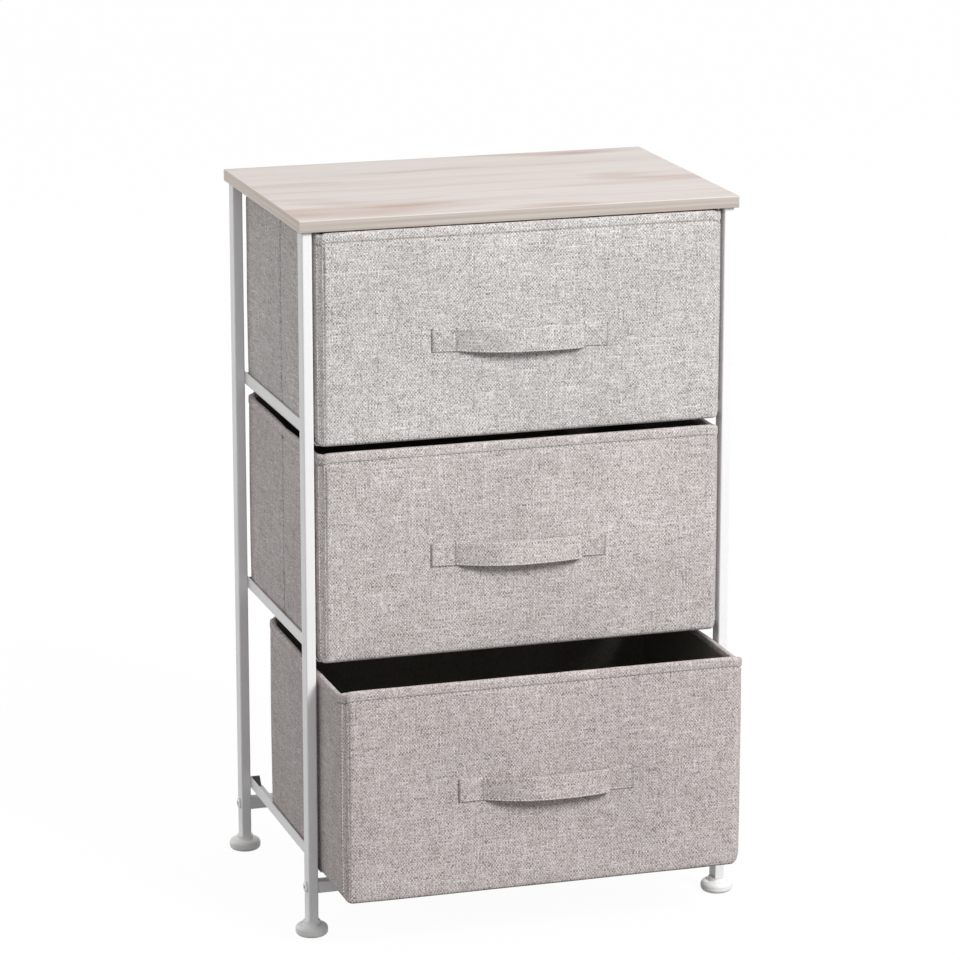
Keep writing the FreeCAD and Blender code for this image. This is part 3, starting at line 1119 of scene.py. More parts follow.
@dataclass
class FabricDrawer:
    """One drawer: woven cover with a folded hem, dark lining, wrapped boards and a strap handle.

    Attributes:
        level: Which drawer it is.
        drape: How its cloth lies.
        corner_radius: Round of the upright corners.
        foot_radius: Round of the bottom's edge.
        wall: Thickness of a wall at the rim.
        hem: How far the hem is folded down inside.
        hem_stitch: How far below the rim the hem's stitches run.
        rim_roll: Round of the rim.
        mouth_radius: Round of the folded hem's corners.
        outer_skin: How far inside the outline or below the hem a point still belongs to it.
        cover_thickness: Thickness of the cover's cloth.
        grid: Spacing of the cover's points.
        seam_cuts: Closer cuts beside a seam.
        crease_cuts: Closer cuts beside the fold of a side.
        seam_margin: From a seam to the first plain cut.
        hem_margin: From the hem's stitches to the first plain cut.
        lining_inset: From the cover's outside to the lining.
        lining_lift: From the cover's underside to the lining's.
        lining_drop: From the rim to the lining's upper edge.
        lining_corner: Round of the lining's upright corners.
        lining_foot: Round of the lining's lower edge.
        lining_thickness: Thickness of the lining's cloth.
        lining_grid: Spacing of the lining's points.
        lining_slack: How far the lining stands loose from its boards.
        lining_waves: Waves of that slack: their share and their number a metre.
        lining_held: How far below its upper edge it is held.
        fold_gap: Between the two boards of a side.
        mitre: How much shorter a side's boards are on their outer face.
        board_edge: Round of a board's edges.
        skin_step: Spacing of the points that sewing follows.
        row_start: From the bottom's round edge to the corners' rows of stitches.
        row_turn: Share of a round corner from its middle to its row of stitches.
    """

    level: Level
    drape: Drape = Drape()
    corner_radius: float = 7.0 * MM
    foot_radius: float = 5.0 * MM
    wall: float = 5.4 * MM
    hem: float = 12.0 * MM
    hem_stitch: float = 10.4 * MM
    rim_roll: float = 1.9 * MM
    mouth_radius: float = 6.0 * MM
    outer_skin: float = 1.0 * MM
    cover_thickness: float = 1.0 * MM
    grid: float = 11.0 * MM
    seam_cuts: tuple[float, ...] = (0.8 * MM, 1.6 * MM, 3.2 * MM)
    crease_cuts: tuple[float, ...] = (1.2 * MM, 2.4 * MM, 5.0 * MM)
    seam_margin: float = 5.0 * MM
    hem_margin: float = 4.0 * MM
    lining_inset: float = 6.3 * MM
    lining_lift: float = 2.0 * MM
    lining_drop: float = 2.6 * MM
    lining_corner: float = 7.0 * MM
    lining_foot: float = 3.0 * MM
    lining_thickness: float = 0.6 * MM
    lining_grid: float = 14.3 * MM
    lining_slack: float = 0.9 * MM
    lining_waves: tuple[Wave, ...] = ((0.5, 13.0), (0.25, 37.0))
    lining_held: float = 20.0 * MM
    fold_gap: float = 3.0 * MM
    mitre: float = 2.8 * MM
    board_edge: float = 0.4 * MM
    skin_step: float = 2.0 * MM
    row_start: float = 2.0 * MM
    row_turn: float = 0.3

    def __post_init__(self) -> None:
        """Take the drawer's place from the frame."""
        self.trim = self.level.value
        self.body = f"{self.level.label}_drawer"
        self.low, self.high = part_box(self.node("cover"))
        self.depth = self.high.y - self.low.y
        self.height = self.high.z - self.low.z
        self.outline = RoundedOutline(self.high.x, self.low.y, self.high.y, self.corner_radius)
        self.seed = Vector((self.trim.cut * self.drape.roll_step, 0.0, 0.0))

    @property
    def fold_dip(self) -> float:
        """How far the rim of a side dips at its fold."""
        return min(self.drape.rim_dip, self.trim.rim_lift)

    def node(self, part: str) -> str:
        """The frame's node of one of the drawer's parts."""
        return f"{self.level.label}_drawer_{part}"

    def noise_at(self, point: Vector, per_metre: float) -> float:
        """Soft noise between about -1 and 1 over the drawer."""
        return noise.noise(point * per_metre + self.seed)

    def ripple(self, point: Vector, *waves: Wave) -> float:
        """How far some waves lift the cloth at a point."""
        return sum(height * self.noise_at(point, per_metre) for height, per_metre in waves)

    def above_hem(self, point: Vector) -> float:
        """How far a point of the plain outline lies above the hem's row of stitches."""
        return point.z - self.high.z + self.hem_stitch

    def past_fold(self, point: Vector) -> float:
        """How far a point lies behind the fold in the middle of the sides."""
        return point.y - self.outline.depth_mid

    def near_side(self, point: Vector, start: float, full: float = 0.0) -> float:
        """A step from 0 at one distance from the side walls to 1 at another."""
        return step_up(abs(point.x), self.high.x - start, self.high.x - full)

    def near_end(self, point: Vector, start: float, full: float = 0.0) -> float:
        """A step from 0 at one distance from the front and back to 1 at another."""
        return step_up(abs(self.past_fold(point)), self.depth / 2.0 - start, self.depth / 2.0 - full)

    def near_rim(self, point: Vector, start: float) -> float:
        """A step from 0 at a distance below the rim to 1 at the rim."""
        return step_up(point.z, self.high.z - start, self.high.z)

    def seam_at(self, point: Vector, normal: Vector) -> float:
        """How close a point is to the seam at a left corner.

        Args:
            point: A point of the plain outline.
            normal: The outward normal there.

        Returns:
            1 on the seam, 0 away from it.
        """
        if point.x > 0.0:
            return 0.0
        drape = self.drape
        below_hem = 1.0 - step_up(self.above_hem(point), -drape.seam_end, 0.0)
        below_hem *= drape.seam_foot + (1.0 - drape.seam_foot) * step_up(point.z, self.low.z, self.high.z)
        return abs(normal.y) * below_hem * hump(abs(point.x) - self.outline.flat_half, drape.seam_width)

    def relief(self, point: Vector, normal: Vector) -> float:
        """How far the cloth of the outer wall stands out from its plain outline.

        Args:
            point: A point of the plain outline.
            normal: The outward normal there.

        Returns:
            Metres outwards.
        """
        drape = self.drape
        share = min(1.0, max(0.0, (point.z - self.low.z) / self.height))
        stitched, folded = self.above_hem(point), self.past_fold(point)
        upright, side = 1.0 - abs(normal.z), abs(normal.x)
        out = self.ripple(point, *drape.wall_waves)
        out += upright * drape.belly * math.sin(math.pi * share)
        out += upright * drape.hem_step * step_up(stitched, 0.0, drape.hem_fade)
        out -= upright * drape.seam_depth * hump(stitched, drape.seam_width)
        out -= side * drape.crease_depth * hump(folded, drape.crease_width)
        out -= side * drape.hollow_depth * math.exp(-abs(folded) / drape.hollow_reach)
        out -= drape.corner_flat * 2.0 * abs(normal.x * normal.y)
        return out - drape.seam_depth * self.seam_at(point, normal)

    def painted_shade(self, point: Vector, normal: Vector) -> float:
        """How deep in a seam, row of stitches or fold a point lies, as a mark of painted shade that darkens
        the cloth there.

        Args:
            point: A point of the plain outline.
            normal: The outward normal there.

        Returns:
            A mark from 0 to 1.
        """
        drape = self.drape
        # Painted shade along the hem's stitches, in the left corner seams and in the side's fold.
        hem = self.trim.hem_mark * (1.0 - abs(normal.z)) * hump(self.above_hem(point), drape.seam_width)
        fold = drape.crease_mark * abs(normal.x) * hump(self.past_fold(point), drape.crease_mark_width)
        return max(hem, drape.seam_mark * self.seam_at(point, normal), fold)

    def side_drop(self, point: Vector) -> float:
        """How much lower the cloth of a side lies at a point than that of the front and back.

        Args:
            point: A point of the plain shape.

        Returns:
            Metres downwards, most at the rim and at the fold.
        """
        drape = self.drape
        low = self.trim.side_low * (1.0 - self.near_end(point, *drape.side_ends))
        dip = self.fold_dip * math.exp(-abs(self.past_fold(point)) / drape.dip_reach)
        share = self.near_side(point, *drape.side_band) * self.near_rim(point, drape.side_height)
        return share * (dip + low)

    def hang(self, point: Vector) -> float:
        """How far the bottom hangs down under a point.

        Args:
            point: A point of the plain shape.

        Returns:
            Metres downwards, at the bottom and fading up the walls.
        """
        drape = self.drape
        behind = point.y - self.low.y
        between = 1.0 - self.near_side(point, *drape.ledge_band)
        inside = 1.0 - drape.lip_taper * self.near_side(point, drape.lip_ends)
        ahead = inside * (1.0 - step_up(behind, *drape.lip_band))
        ahead = max(ahead, between * (1.0 - step_up(behind, *drape.sag_band)))
        slant = 1.0 + drape.lip_slant * point.x / self.high.x
        hung = self.trim.sag * max(between, ahead) + self.trim.lip * ahead * slant
        return hung * (1.0 - step_up(point.z - self.low.z, 0.0, drape.sag_height))

    def slump(self, point: Vector) -> float:
        """How far the cloth at a point stands above its plain shape, or below it if less than 0.

        Args:
            point: A point of the plain shape.

        Returns:
            Metres upwards.
        """
        drape = self.drape
        lift = self.trim.rim_lift * (point.z - self.low.z) / self.height
        corner = self.near_side(point, drape.corner_reach) * self.near_end(point, drape.corner_reach)
        dropped = drape.rim_corner * corner * self.near_rim(point, drape.corner_height)
        return lift - self.hang(point) - self.side_drop(point) - dropped

    def skin(self, walked: float, rise: float) -> tuple[Vector, Vector]:
        """The point and normal of the finished outer wall.

        Args:
            walked: Metres round the drawer.
            rise: Metres above its bottom.

        Returns:
            The point on the cloth and the outward normal.
        """
        point, normal = self.outline.at(walked)
        point.z = self.low.z + rise
        return point + normal * self.relief(point, normal) + Z_AXIS * self.slump(point), normal

    def soft_box(self) -> bmesh.types.BMesh:
        """Make the cover's plain shape.

        Returns:
            A round-cornered box, open above, its hem folded in over the rim.
        """
        mesh = bmesh.new()
        add_box(mesh, self.low, self.high)
        round_edges(mesh, upright_edges(mesh), self.corner_radius, segments=6)
        round_edges(mesh, edges_below(mesh, self.low.z), self.foot_radius, segments=4)
        top = top_face(mesh)
        bmesh.ops.inset_region(mesh, faces=[top], thickness=self.wall, use_even_offset=True)
        bmesh.ops.inset_region(mesh, faces=[top], thickness=0.0, depth=-self.hem)
        bmesh.ops.delete(mesh, geom=[top], context="FACES_ONLY")
        level = [e for e in mesh.edges if min(v.co.z for v in e.verts) > self.high.z - TINY]
        rim = [e for e in level if e.calc_face_angle(0.0) > SHARP_ANGLE]
        round_edges(mesh, rim, self.rim_roll, segments=3)
        return mesh

    def cut_grid(self, mesh: bmesh.types.BMesh) -> None:
        """Cut the plain shape into a grid that is finer at the seams, crease and hem.

        Args:
            mesh: The plain shape.
        """
        seam = self.outline.flat_half
        columns = evenly(-seam + self.seam_margin, seam - self.seam_margin, self.grid)
        for side in Side:
            columns += close_to(side.value * seam, self.seam_cuts)
        crease = self.outline.depth_mid
        rows = evenly(self.low.y + self.corner_radius, self.high.y - self.corner_radius, self.grid)
        rows = [row for row in rows if abs(row - crease) > max(self.crease_cuts)]
        rows += close_to(crease, self.crease_cuts)
        rows.append(self.low.y + self.drape.lip_band[1])
        hem = self.high.z - self.hem_stitch
        courses = evenly(self.low.z + self.foot_radius, hem - self.hem_margin, self.grid)
        courses += close_to(hem, self.seam_cuts)
        for axis, places in ((X_AXIS, columns), (Y_AXIS, rows), (Z_AXIS, courses)):
            slice_mesh(mesh, axis, places)

    def lay_cloth(self, mesh: bmesh.types.BMesh) -> None:
        """Write where each corner of the cover lies on its flat cloth, in metres.

        Args:
            mesh: The cover's plain shape, cut into its grid.
        """
        layer = mesh.loops.layers.uv.new(CLOTH_MAP)
        way = self.outline.length
        for face in mesh.faces:
            under = face.normal.z < FACES_DOWN
            middle = self.outline.walked(face.calc_center_median())
            for loop in face.loops:
                point = loop.vert.co
                walked = self.outline.walked(point)
                walked += way * round((middle - walked) / way)
                inset = self.outline.inset(point)
                fold = -1.0 if inset < self.wall / 2.0 else 1.0
                up = self.height + inset + fold * (self.high.z - point.z)
                spot = (point.x, point.y - self.high.y) if under else (walked, up)
                loop[layer].uv = (spot[0] + self.trim.cut, spot[1] + self.trim.cut)

    def rounded_mouth(self, point: Vector) -> Vector:
        """How the folded hem's round corners pull a point of the plain shape inwards.

        Args:
            point: A point of the plain shape.

        Returns:
            The move, zero away from the hem's corners.
        """
        inset = self.outline.inset(point)
        if point.z < self.high.z - self.hem - self.outer_skin:
            return Vector()
        share = min(1.0, max(0.0, inset / self.wall))
        radius = self.corner_radius - inset + share * (self.mouth_radius - self.corner_radius + self.wall)
        past_x = abs(point.x) - self.high.x + inset + radius
        past_y = abs(self.past_fold(point)) - self.depth / 2.0 + inset + radius
        if min(past_x, past_y) <= 0.0:
            return Vector()
        pull = radius / math.hypot(past_x, past_y) - 1.0
        out_x = math.copysign(past_x, point.x)
        out_y = math.copysign(past_y, self.past_fold(point))
        return pull * Vector((out_x, out_y, 0.0))

    def settle(self, mesh: bmesh.types.BMesh) -> None:
        """Move the plain shape's points to where stitched cloth over board lies, and mark painted shade in
        the seams, the folds and on the bottom's round edge.

        Args:
            mesh: The cover's plain shape, cut into its grid.
        """
        marks = mesh.verts.layers.float.new(PAINTED_SHADE_ATTRIBUTE)
        mesh.normal_update()
        moves = []
        for vert in mesh.verts:
            point, normal = vert.co, vert.normal
            if normal.z < FLAT_DOWN:
                out = self.ripple(point, self.drape.under_wave)
            elif self.outline.inset(point) < self.outer_skin:
                out = self.relief(point, normal)
                vert[marks] = self.painted_shade(point, normal)
            else:
                out = self.ripple(point, self.drape.fold_wave)
                # Painted shade on the bottom's round edge, which turns down away from the light.
                vert[marks] = self.drape.foot_mark * step_up(-normal.z, *SLOPE_TO_FLAT)
            moves.append(normal * out + Z_AXIS * self.slump(point) + self.rounded_mouth(point))
        for vert, move in zip(mesh.verts, moves):
            vert.co += move

    def cover(self) -> None:
        """Build the woven cover."""
        mesh = self.soft_box()
        self.cut_grid(mesh)
        mesh.normal_update()
        self.lay_cloth(mesh)
        self.settle(mesh)
        name = f"{self.level.label}_woven_cover"
        piece = make_piece(name, mesh, LINEN[self.level], self.body)
        thicken(piece, self.cover_thickness, -1.0)
        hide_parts(self.node("cover"))
        self.node("front_board")

    def lining(self) -> None:
        """Build the dark lining, a little loose on the boards."""
        mesh = bmesh.new()
        inset = Vector((self.lining_inset, self.lining_inset, 0.0))
        low = self.low + inset + Z_AXIS * self.lining_lift
        high = self.high - inset - Z_AXIS * self.lining_drop
        add_box(mesh, low, high)
        bmesh.ops.delete(mesh, geom=[top_face(mesh)], context="FACES_ONLY")
        round_edges(mesh, upright_edges(mesh), self.lining_corner, segments=4)
        round_edges(mesh, edges_below(mesh, low.z), self.lining_foot, segments=3)
        for axis, start, end in zip((X_AXIS, Y_AXIS, Z_AXIS), low, high):
            slice_mesh(mesh, axis, evenly(start, end, self.lining_grid))
        bmesh.ops.reverse_faces(mesh, faces=mesh.faces[:])
        mesh.normal_update()
        for vert in mesh.verts:
            held = step_up(high.z - vert.co.z, 0.0, self.lining_held)
            loose = max(0.0, 0.5 + self.ripple(vert.co, *self.lining_waves))
            upright = 1.0 - step_up(vert.normal.z, *SLOPE_TO_FLAT)
            slack = self.lining_slack * loose * held * upright
            vert.co += vert.normal * slack - Z_AXIS * self.side_drop(vert.co)
        piece = make_piece(f"{self.level.label}_dark_lining", mesh, LINING, self.body)
        thicken(piece, self.lining_thickness, -1.0)
        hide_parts(self.node("lining"))
        self.node("bottom_board")

    def side_boards(self, side: Side) -> None:
        """Build a side's stiff boards, apart at the fold and as low as the side's rim.

        Args:
            side: Which side of the drawer.
        """
        node = self.node(f"{side.label}_boards")
        low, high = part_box(node)
        high.z -= self.trim.side_low + self.fold_dip - self.trim.rim_lift
        fold = (low.y + high.y) / 2.0
        mesh = bmesh.new()
        for start, end in ((low.y, fold - self.fold_gap / 2.0), (fold + self.fold_gap / 2.0, high.y)):
            add_box(mesh, Vector((low.x, start, low.z)), Vector((high.x, end, high.z)))
        outer = low.x if side is Side.LEFT else high.x
        reach = (high.y - low.y) / 2.0 - TINY
        for vert in mesh.verts:
            if abs(vert.co.x - outer) < TINY and abs(vert.co.y - fold) > reach:
                vert.co.y += math.copysign(self.mitre, fold - vert.co.y)
        round_edges(mesh, mesh.edges[:], self.board_edge, segments=2)
        piece = make_piece(f"{self.body}_{side.label}_stiffeners", mesh, BOARD, self.body)
        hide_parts(node)

    def sewing(self, strap: "StrapHandle") -> None:
        """Sew the hem, the front corners and the strap.

        Args:
            strap: The drawer's strap handle.
        """
        mesh = bmesh.new()
        rise = self.height - self.hem_stitch
        turns = math.ceil(self.outline.length / self.skin_step)
        HEM_ROW.sew(mesh, [self.skin(self.outline.length * i / turns, rise) for i in range(turns + 1)])
        foot = self.foot_radius + self.row_start
        count = math.ceil((rise - foot) / self.skin_step)
        heights = [foot + (rise - foot) * i / count for i in range(count)]
        for side in Side:
            walked = self.outline.corner_at(side) + side.value * self.row_turn * self.outline.arc
            CORNER_ROW.sew(mesh, [self.skin(walked, height) for height in heights])
        strap.sew(mesh)
        make_piece(f"{self.level.label}_stitching", mesh, THREAD, self.body)

    def build(self) -> None:
        """Build and dress the whole drawer."""
        strap = StrapHandle(self)
        self.cover()
        self.lining()
        strap.build()
        self.sewing(strap)
        for side in Side:
            self.side_boards(side)
        for part in ("front_board", "back_board"):
            dress(self.node(part), BOARD)
        dress(self.node("bottom_board"), LINING)


@dataclass(frozen=True)
class StrapMarks:
    """How dark the painted shade in the strap's rows, edges and creases shows, from 0 to 1, and how wide,
    in metres.

    Attributes:
        row: The long rows of stitches.
        row_width: Width of a row.
        edge: Painted shade along the cut edges of both ends.
        edge_inset: How far from an end its edge shows.
        edge_width: Width of that edge.
        left_line: The line at which the strap leaves the drawer at the left.
        right_line: The same line at the right.
        line_width: Width of those lines.
        far_line: The row across each end.
        cross: The crossed rows on the ends.
        face: Painted shade over the free, bowed part of the strap.
        left_shade: More painted shade that its left half adds to that.
        shade_band: Where along the strap that shade starts to fade and ends.
        pocket_shadow_width: Width of the painted shadow of a pocket at the right end's upper corner.
        pocket_shadow_inset: How far inside that corner it lies, along and across.
    """

    row: float = 0.12
    row_width: float = 0.7 * MM
    edge: float = 0.9
    edge_inset: float = 0.7 * MM
    edge_width: float = 0.8 * MM
    left_line: float = 1.0
    right_line: float = 0.35
    line_width: float = 0.9 * MM
    far_line: float = 0.3
    cross: float = 0.55
    face: float = 0.12
    left_shade: float = 0.17
    shade_band: Band = (-32.0 * MM, -4.0 * MM)
    pocket_shadow_width: float = 1.3 * MM
    pocket_shadow_inset: Spot = (2.0 * MM, 0.8 * MM)


@dataclass
class StrapHandle:
    """A drawer's strap handle, flat at both stitched ends and bowed between them.

    Attributes:
        drawer: The drawer that it is sewn to.
        marks: How dark the painted shade of its sewing, edges and free part shows.
        span: Length of the free part.
        width: Width of the strap.
        thickness: Thickness of the doubled cloth.
        flare: How much further the lower edge bows out, for each unit below the centre line.
        droop: How far the free part hangs down.
        gap: Between the strap's back and the cover.
        press: How deep the long rows press the cloth in.
        press_width: Width of that press.
        wave: The cloth's wave: its height and its number a metre.
        right_slack: Share of the bow's fall to the right, where the strap is slacker.
        left_end: Share of half the span over which it leaves the drawer at the left.
        right_end: The same at the right.
        row_inset: From the long edges to the long rows of stitches.
        box_insets: From the free part and from the end to the stitched box.
        columns: Spaces of its grid along the strap.
        rows: Spaces of its grid across the strap.
        roll_place: Where across the roll its cloth was cut.
        path_step: Spacing of the points that sewing follows.
    """

    drawer: FabricDrawer
    marks: StrapMarks = StrapMarks()
    span: float = 130.0 * MM
    width: float = 24.0 * MM
    thickness: float = 1.5 * MM
    flare: float = 0.26
    droop: float = 1.3 * MM
    gap: float = 0.15 * MM
    press: float = 0.3 * MM
    press_width: float = 1.0 * MM
    wave: Wave = (0.25 * MM, 55.0)
    right_slack: float = 0.45
    left_end: float = 0.03
    right_end: float = 0.02
    row_inset: float = 1.6 * MM
    box_insets: Band = (1.0 * MM, 2.4 * MM)
    columns: int = 240
    rows: int = 24
    roll_place: float = 0.5
    path_step: float = 1.5 * MM

    def __post_init__(self) -> None:
        """Take the strap's place from the frame."""
        self.low, self.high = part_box(self.drawer.node("handle"))
        self.trim = self.drawer.trim

    @property
    def row(self) -> float:
        """How far from the centre line the long rows of stitches run."""
        return self.width / 2.0 - self.row_inset

    @property
    def box(self) -> Band:
        """Where the stitched box at each end starts and stops, from the strap's middle."""
        return self.span / 2.0 + self.box_insets[0], self.high.x - self.box_insets[1]

    def bowed(self, x: float) -> float:
        """Share of the bow at a place: a slow rise from the left, a steep end at the right.

        Args:
            x: Metres from the strap's middle.

        Returns:
            A share from 0 to 1.
        """
        along = x / (self.span / 2.0)
        if abs(along) >= 1.0:
            return 0.0
        slack = 1.0 - along ** 2 * (1.0 if along < 0.0 else self.right_slack)
        left = 1.0 - math.exp(-(1.0 + along) / self.left_end)
        return slack * left * (1.0 - math.exp((along - 1.0) / self.right_end))

    def at(self, x: float, across: float) -> Vector:
        """A point on the back of the strap.

        Args:
            x: Metres from the strap's middle.
            across: Metres above its centre line.

        Returns:
            The point in the frame.
        """
        trim = self.trim
        middle = (self.low.z + self.high.z) / 2.0 + trim.strap_rise
        seat = Vector((x + trim.strap_shift, self.drawer.low.y, middle + across + trim.strap_tilt * x))
        bowed = self.bowed(x)
        lift = (trim.strap_bow - self.flare * across) * bowed
        pressed = self.press * hump(abs(across) - self.row, self.press_width)
        uneven = self.drawer.ripple(Vector((x, 0.0, across)), self.wave)
        out = self.drawer.relief(seat, -Y_AXIS) + lift - pressed - uneven + self.gap
        return seat - Y_AXIS * out - Z_AXIS * self.droop * bowed

    def lengths(self, places: list[float]) -> list[float]:
        """Distance along the bowed centre line to each of some places.

        Args:
            places: Metres from the strap's middle, from the left.

        Returns:
            Metres from the first place.
        """
        spots = [self.at(x, 0.0) for x in places]
        steps = [(end - start).length for start, end in zip(spots, spots[1:])]
        return list(itertools.accumulate(steps, initial=0.0))

    def painted_shade(self, x: float, across: float) -> float:
        """How dark the painted shade is at a spot of the strap: deep in a row of stitches, near the end's
        edge, over the free part and in a pocket at the right.

        Args:
            x: Metres from the strap's middle.
            across: Metres above its centre line.

        Returns:
            A mark from 0 to 1.
        """
        marks, row = self.marks, self.row
        near, far = self.box
        end = abs(x) - near
        # Painted shade in the rows of stitches, at the ends' cut edges and along the lines across the ends.
        shown = [
            marks.row * hump(abs(across) - row, marks.row_width),
            marks.edge * hump(self.high.x - abs(x) - marks.edge_inset, marks.edge_width),
            (marks.left_line if x < 0.0 else marks.right_line) * hump(end, marks.line_width),
            marks.far_line * hump(far - abs(x), marks.row_width),
        ]
        if end > 0.0:
            slope = 2.0 * row / (far - near)
            off = [(across + sign * (slope * end - row)) / math.hypot(1.0, slope) for sign in (-1, 1)]
            shown += [marks.cross * hump(distance, marks.row_width) for distance in off]
        else:
            # Painted shade over the free, bowed part, more over its left half.
            shown.append(marks.face + marks.left_shade * (1.0 - step_up(x, *marks.shade_band)))
            # Painted shadow of a pocket at the right end's upper corner.
            inset_x, inset_up = marks.pocket_shadow_inset
            pocket_shadow = math.hypot(x - near + inset_x, across - self.width / 2.0 + inset_up)
            shown.append(hump(pocket_shadow, marks.pocket_shadow_width))
        return max(shown)

    def path(self, start: Spot, end: Spot) -> list[tuple[Vector, Vector]]:
        """A straight sewing path over the strap's face.

        Args:
            start: Where it starts, along and across the strap.
            end: Where it ends.

        Returns:
            Points on the strap's face with its normals.
        """
        along, across = end[0] - start[0], end[1] - start[1]
        count = max(2, round(math.hypot(along, across) / self.path_step))
        shares = [i / count for i in range(count + 1)]
        backs = [self.at(start[0] + along * share, start[1] + across * share) for share in shares]
        return [(back - Y_AXIS * self.thickness, -Y_AXIS) for back in backs]

    def sew(self, mesh: bmesh.types.BMesh) -> None:
        """Sew the strap's ends, each a crossed box, and its long edges.

        Args:
            mesh: The bmesh that takes the stitches.
        """
        up = self.row
        inner, outer = self.box
        for side in Side:
            near, far = side.value * inner, side.value * outer
            for across in (-up, up):
                STRAP_ROW.sew(mesh, self.path((near, across), (far, across)))
            for x in (near, far):
                BOX_ROW.sew(mesh, self.path((x, -up), (x, up)))
            for across in (-up, up):
                BOX_ROW.sew(mesh, self.path((near, across), (far, -across)))
        for across in (-up, up):
            STRAP_ROW.sew(mesh, self.path((-inner, across), (inner, across)))

    def build(self) -> None:
        """Build the strap."""
        mesh = bmesh.new()
        half_length = self.high.x
        flat = Matrix.Diagonal((half_length, self.width / 2.0, 1.0, 1.0))
        bmesh.ops.create_grid(mesh, x_segments=self.columns, y_segments=self.rows, size=1.0, matrix=flat)
        pitch = 2.0 * half_length / self.columns
        lengths = self.lengths([pitch * i - half_length for i in range(self.columns + 1)])
        layer = mesh.loops.layers.uv.new(CLOTH_MAP)
        marks = mesh.verts.layers.float.new(PAINTED_SHADE_ATTRIBUTE)
        for face in mesh.faces:
            for loop in face.loops:
                column = round((loop.vert.co.x + half_length) / pitch)
                loop[layer].uv = (lengths[column] + self.trim.cut, loop.vert.co.y + self.roll_place)
        for vert in mesh.verts:
            vert[marks] = self.painted_shade(vert.co.x, vert.co.y)
            vert.co = self.at(vert.co.x, vert.co.y)
        drawer = self.drawer
        name = f"{self.trim.label}_strap_handle"
        piece = make_piece(name, mesh, LINEN[drawer.level], drawer.body)
        thicken(piece, self.thickness, 1.0)
        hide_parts(drawer.node("handle"))
        drawer.node("front_board")


@dataclass
class LevellingFoot:
    """One screw-in foot: a round pad from the frame, and a stud with its thread."""

    corner: Corner
    thread_pitch: float = 1.0 * MM
    thread_depth: float = 0.55 * MM
    steps: int = 16
    merge: float = 0.02 * MM

    def stud(self) -> None:
        """Turn a threaded stud in place of the plain one."""
        foot = f"{self.corner.value}_foot"
        low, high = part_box(f"{foot}_stud")
        axis = (low + high) / 2.0
        crest = (high.x - low.x) / 2.0
        root = crest - self.thread_depth
        turns = math.floor((high.z - low.z) / self.thread_pitch) - 1
        mesh = bmesh.new()
        spots = [(root, 0.0), (crest, 0.5), (root, 1.0)]
        profile = [mesh.verts.new((axis.x + r, axis.y, low.z + t * self.thread_pitch)) for r, t in spots]
        edges = [mesh.edges.new(pair) for pair in zip(profile, profile[1:])]
        bmesh.ops.spin(
            mesh, geom=profile + edges, cent=axis, axis=Z_AXIS, angle=turns * 2.0 * math.pi,
            steps=turns * self.steps, dvec=Z_AXIS * (self.thread_pitch / self.steps), use_duplicate=False)
        bmesh.ops.remove_doubles(mesh, verts=mesh.verts[:], dist=self.merge)
        open_edges = [e for e in mesh.edges if e.is_boundary]
        bmesh.ops.holes_fill(mesh, edges=open_edges, sides=0)
        bmesh.ops.recalc_face_normals(mesh, faces=mesh.faces[:])
        name = f"{self.corner.value}_threaded_stud"
        piece = make_piece(name, mesh, ZINC, foot, smooth=False)
        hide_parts(f"{foot}_stud")

    def build(self) -> None:
        """Build the stud and dress the pad."""
        self.stud()
        dress(f"{self.corner.value}_foot_pad", PLASTIC)


@dataclass
class SteelFrame:
    """The welded frame with its top board, runners, stops and fasteners."""

    def build(self) -> None:
        """Dress every node of the frame."""
        dress("top_panel", WOOD)
        for corner in Corner:
            dress(f"{corner.value}_post", POWDER)
        for end in ("front", "back"):
            dress(f"{end}_cross_bar", POWDER)
        for level, side in itertools.product(Level, Side):
            dress(f"{level.label}_{side.label}_runner", POWDER)
        # Painted shade: dark grey coat on the runners' stops.
        dress("runner_stops", PAINTED_SHADE_COAT)
        for node in ("cross_bar_bolts", "cross_bar_blocks", "top_plug_screws"):
            dress(node, ZINC)
        for node in ("foot_inserts", "top_plugs"):
            dress(node, DARK_PLASTIC)


@dataclass(frozen=True)
class SoftBox:
    """A square lamp that faces the dresser.

    Attributes:
        name: The lamp's name.
        place: Where it hangs.
        size: Its side, in metres.
        power: Its power, in watts.
    """

    name: str
    place: Vector
    size: float
    power: float


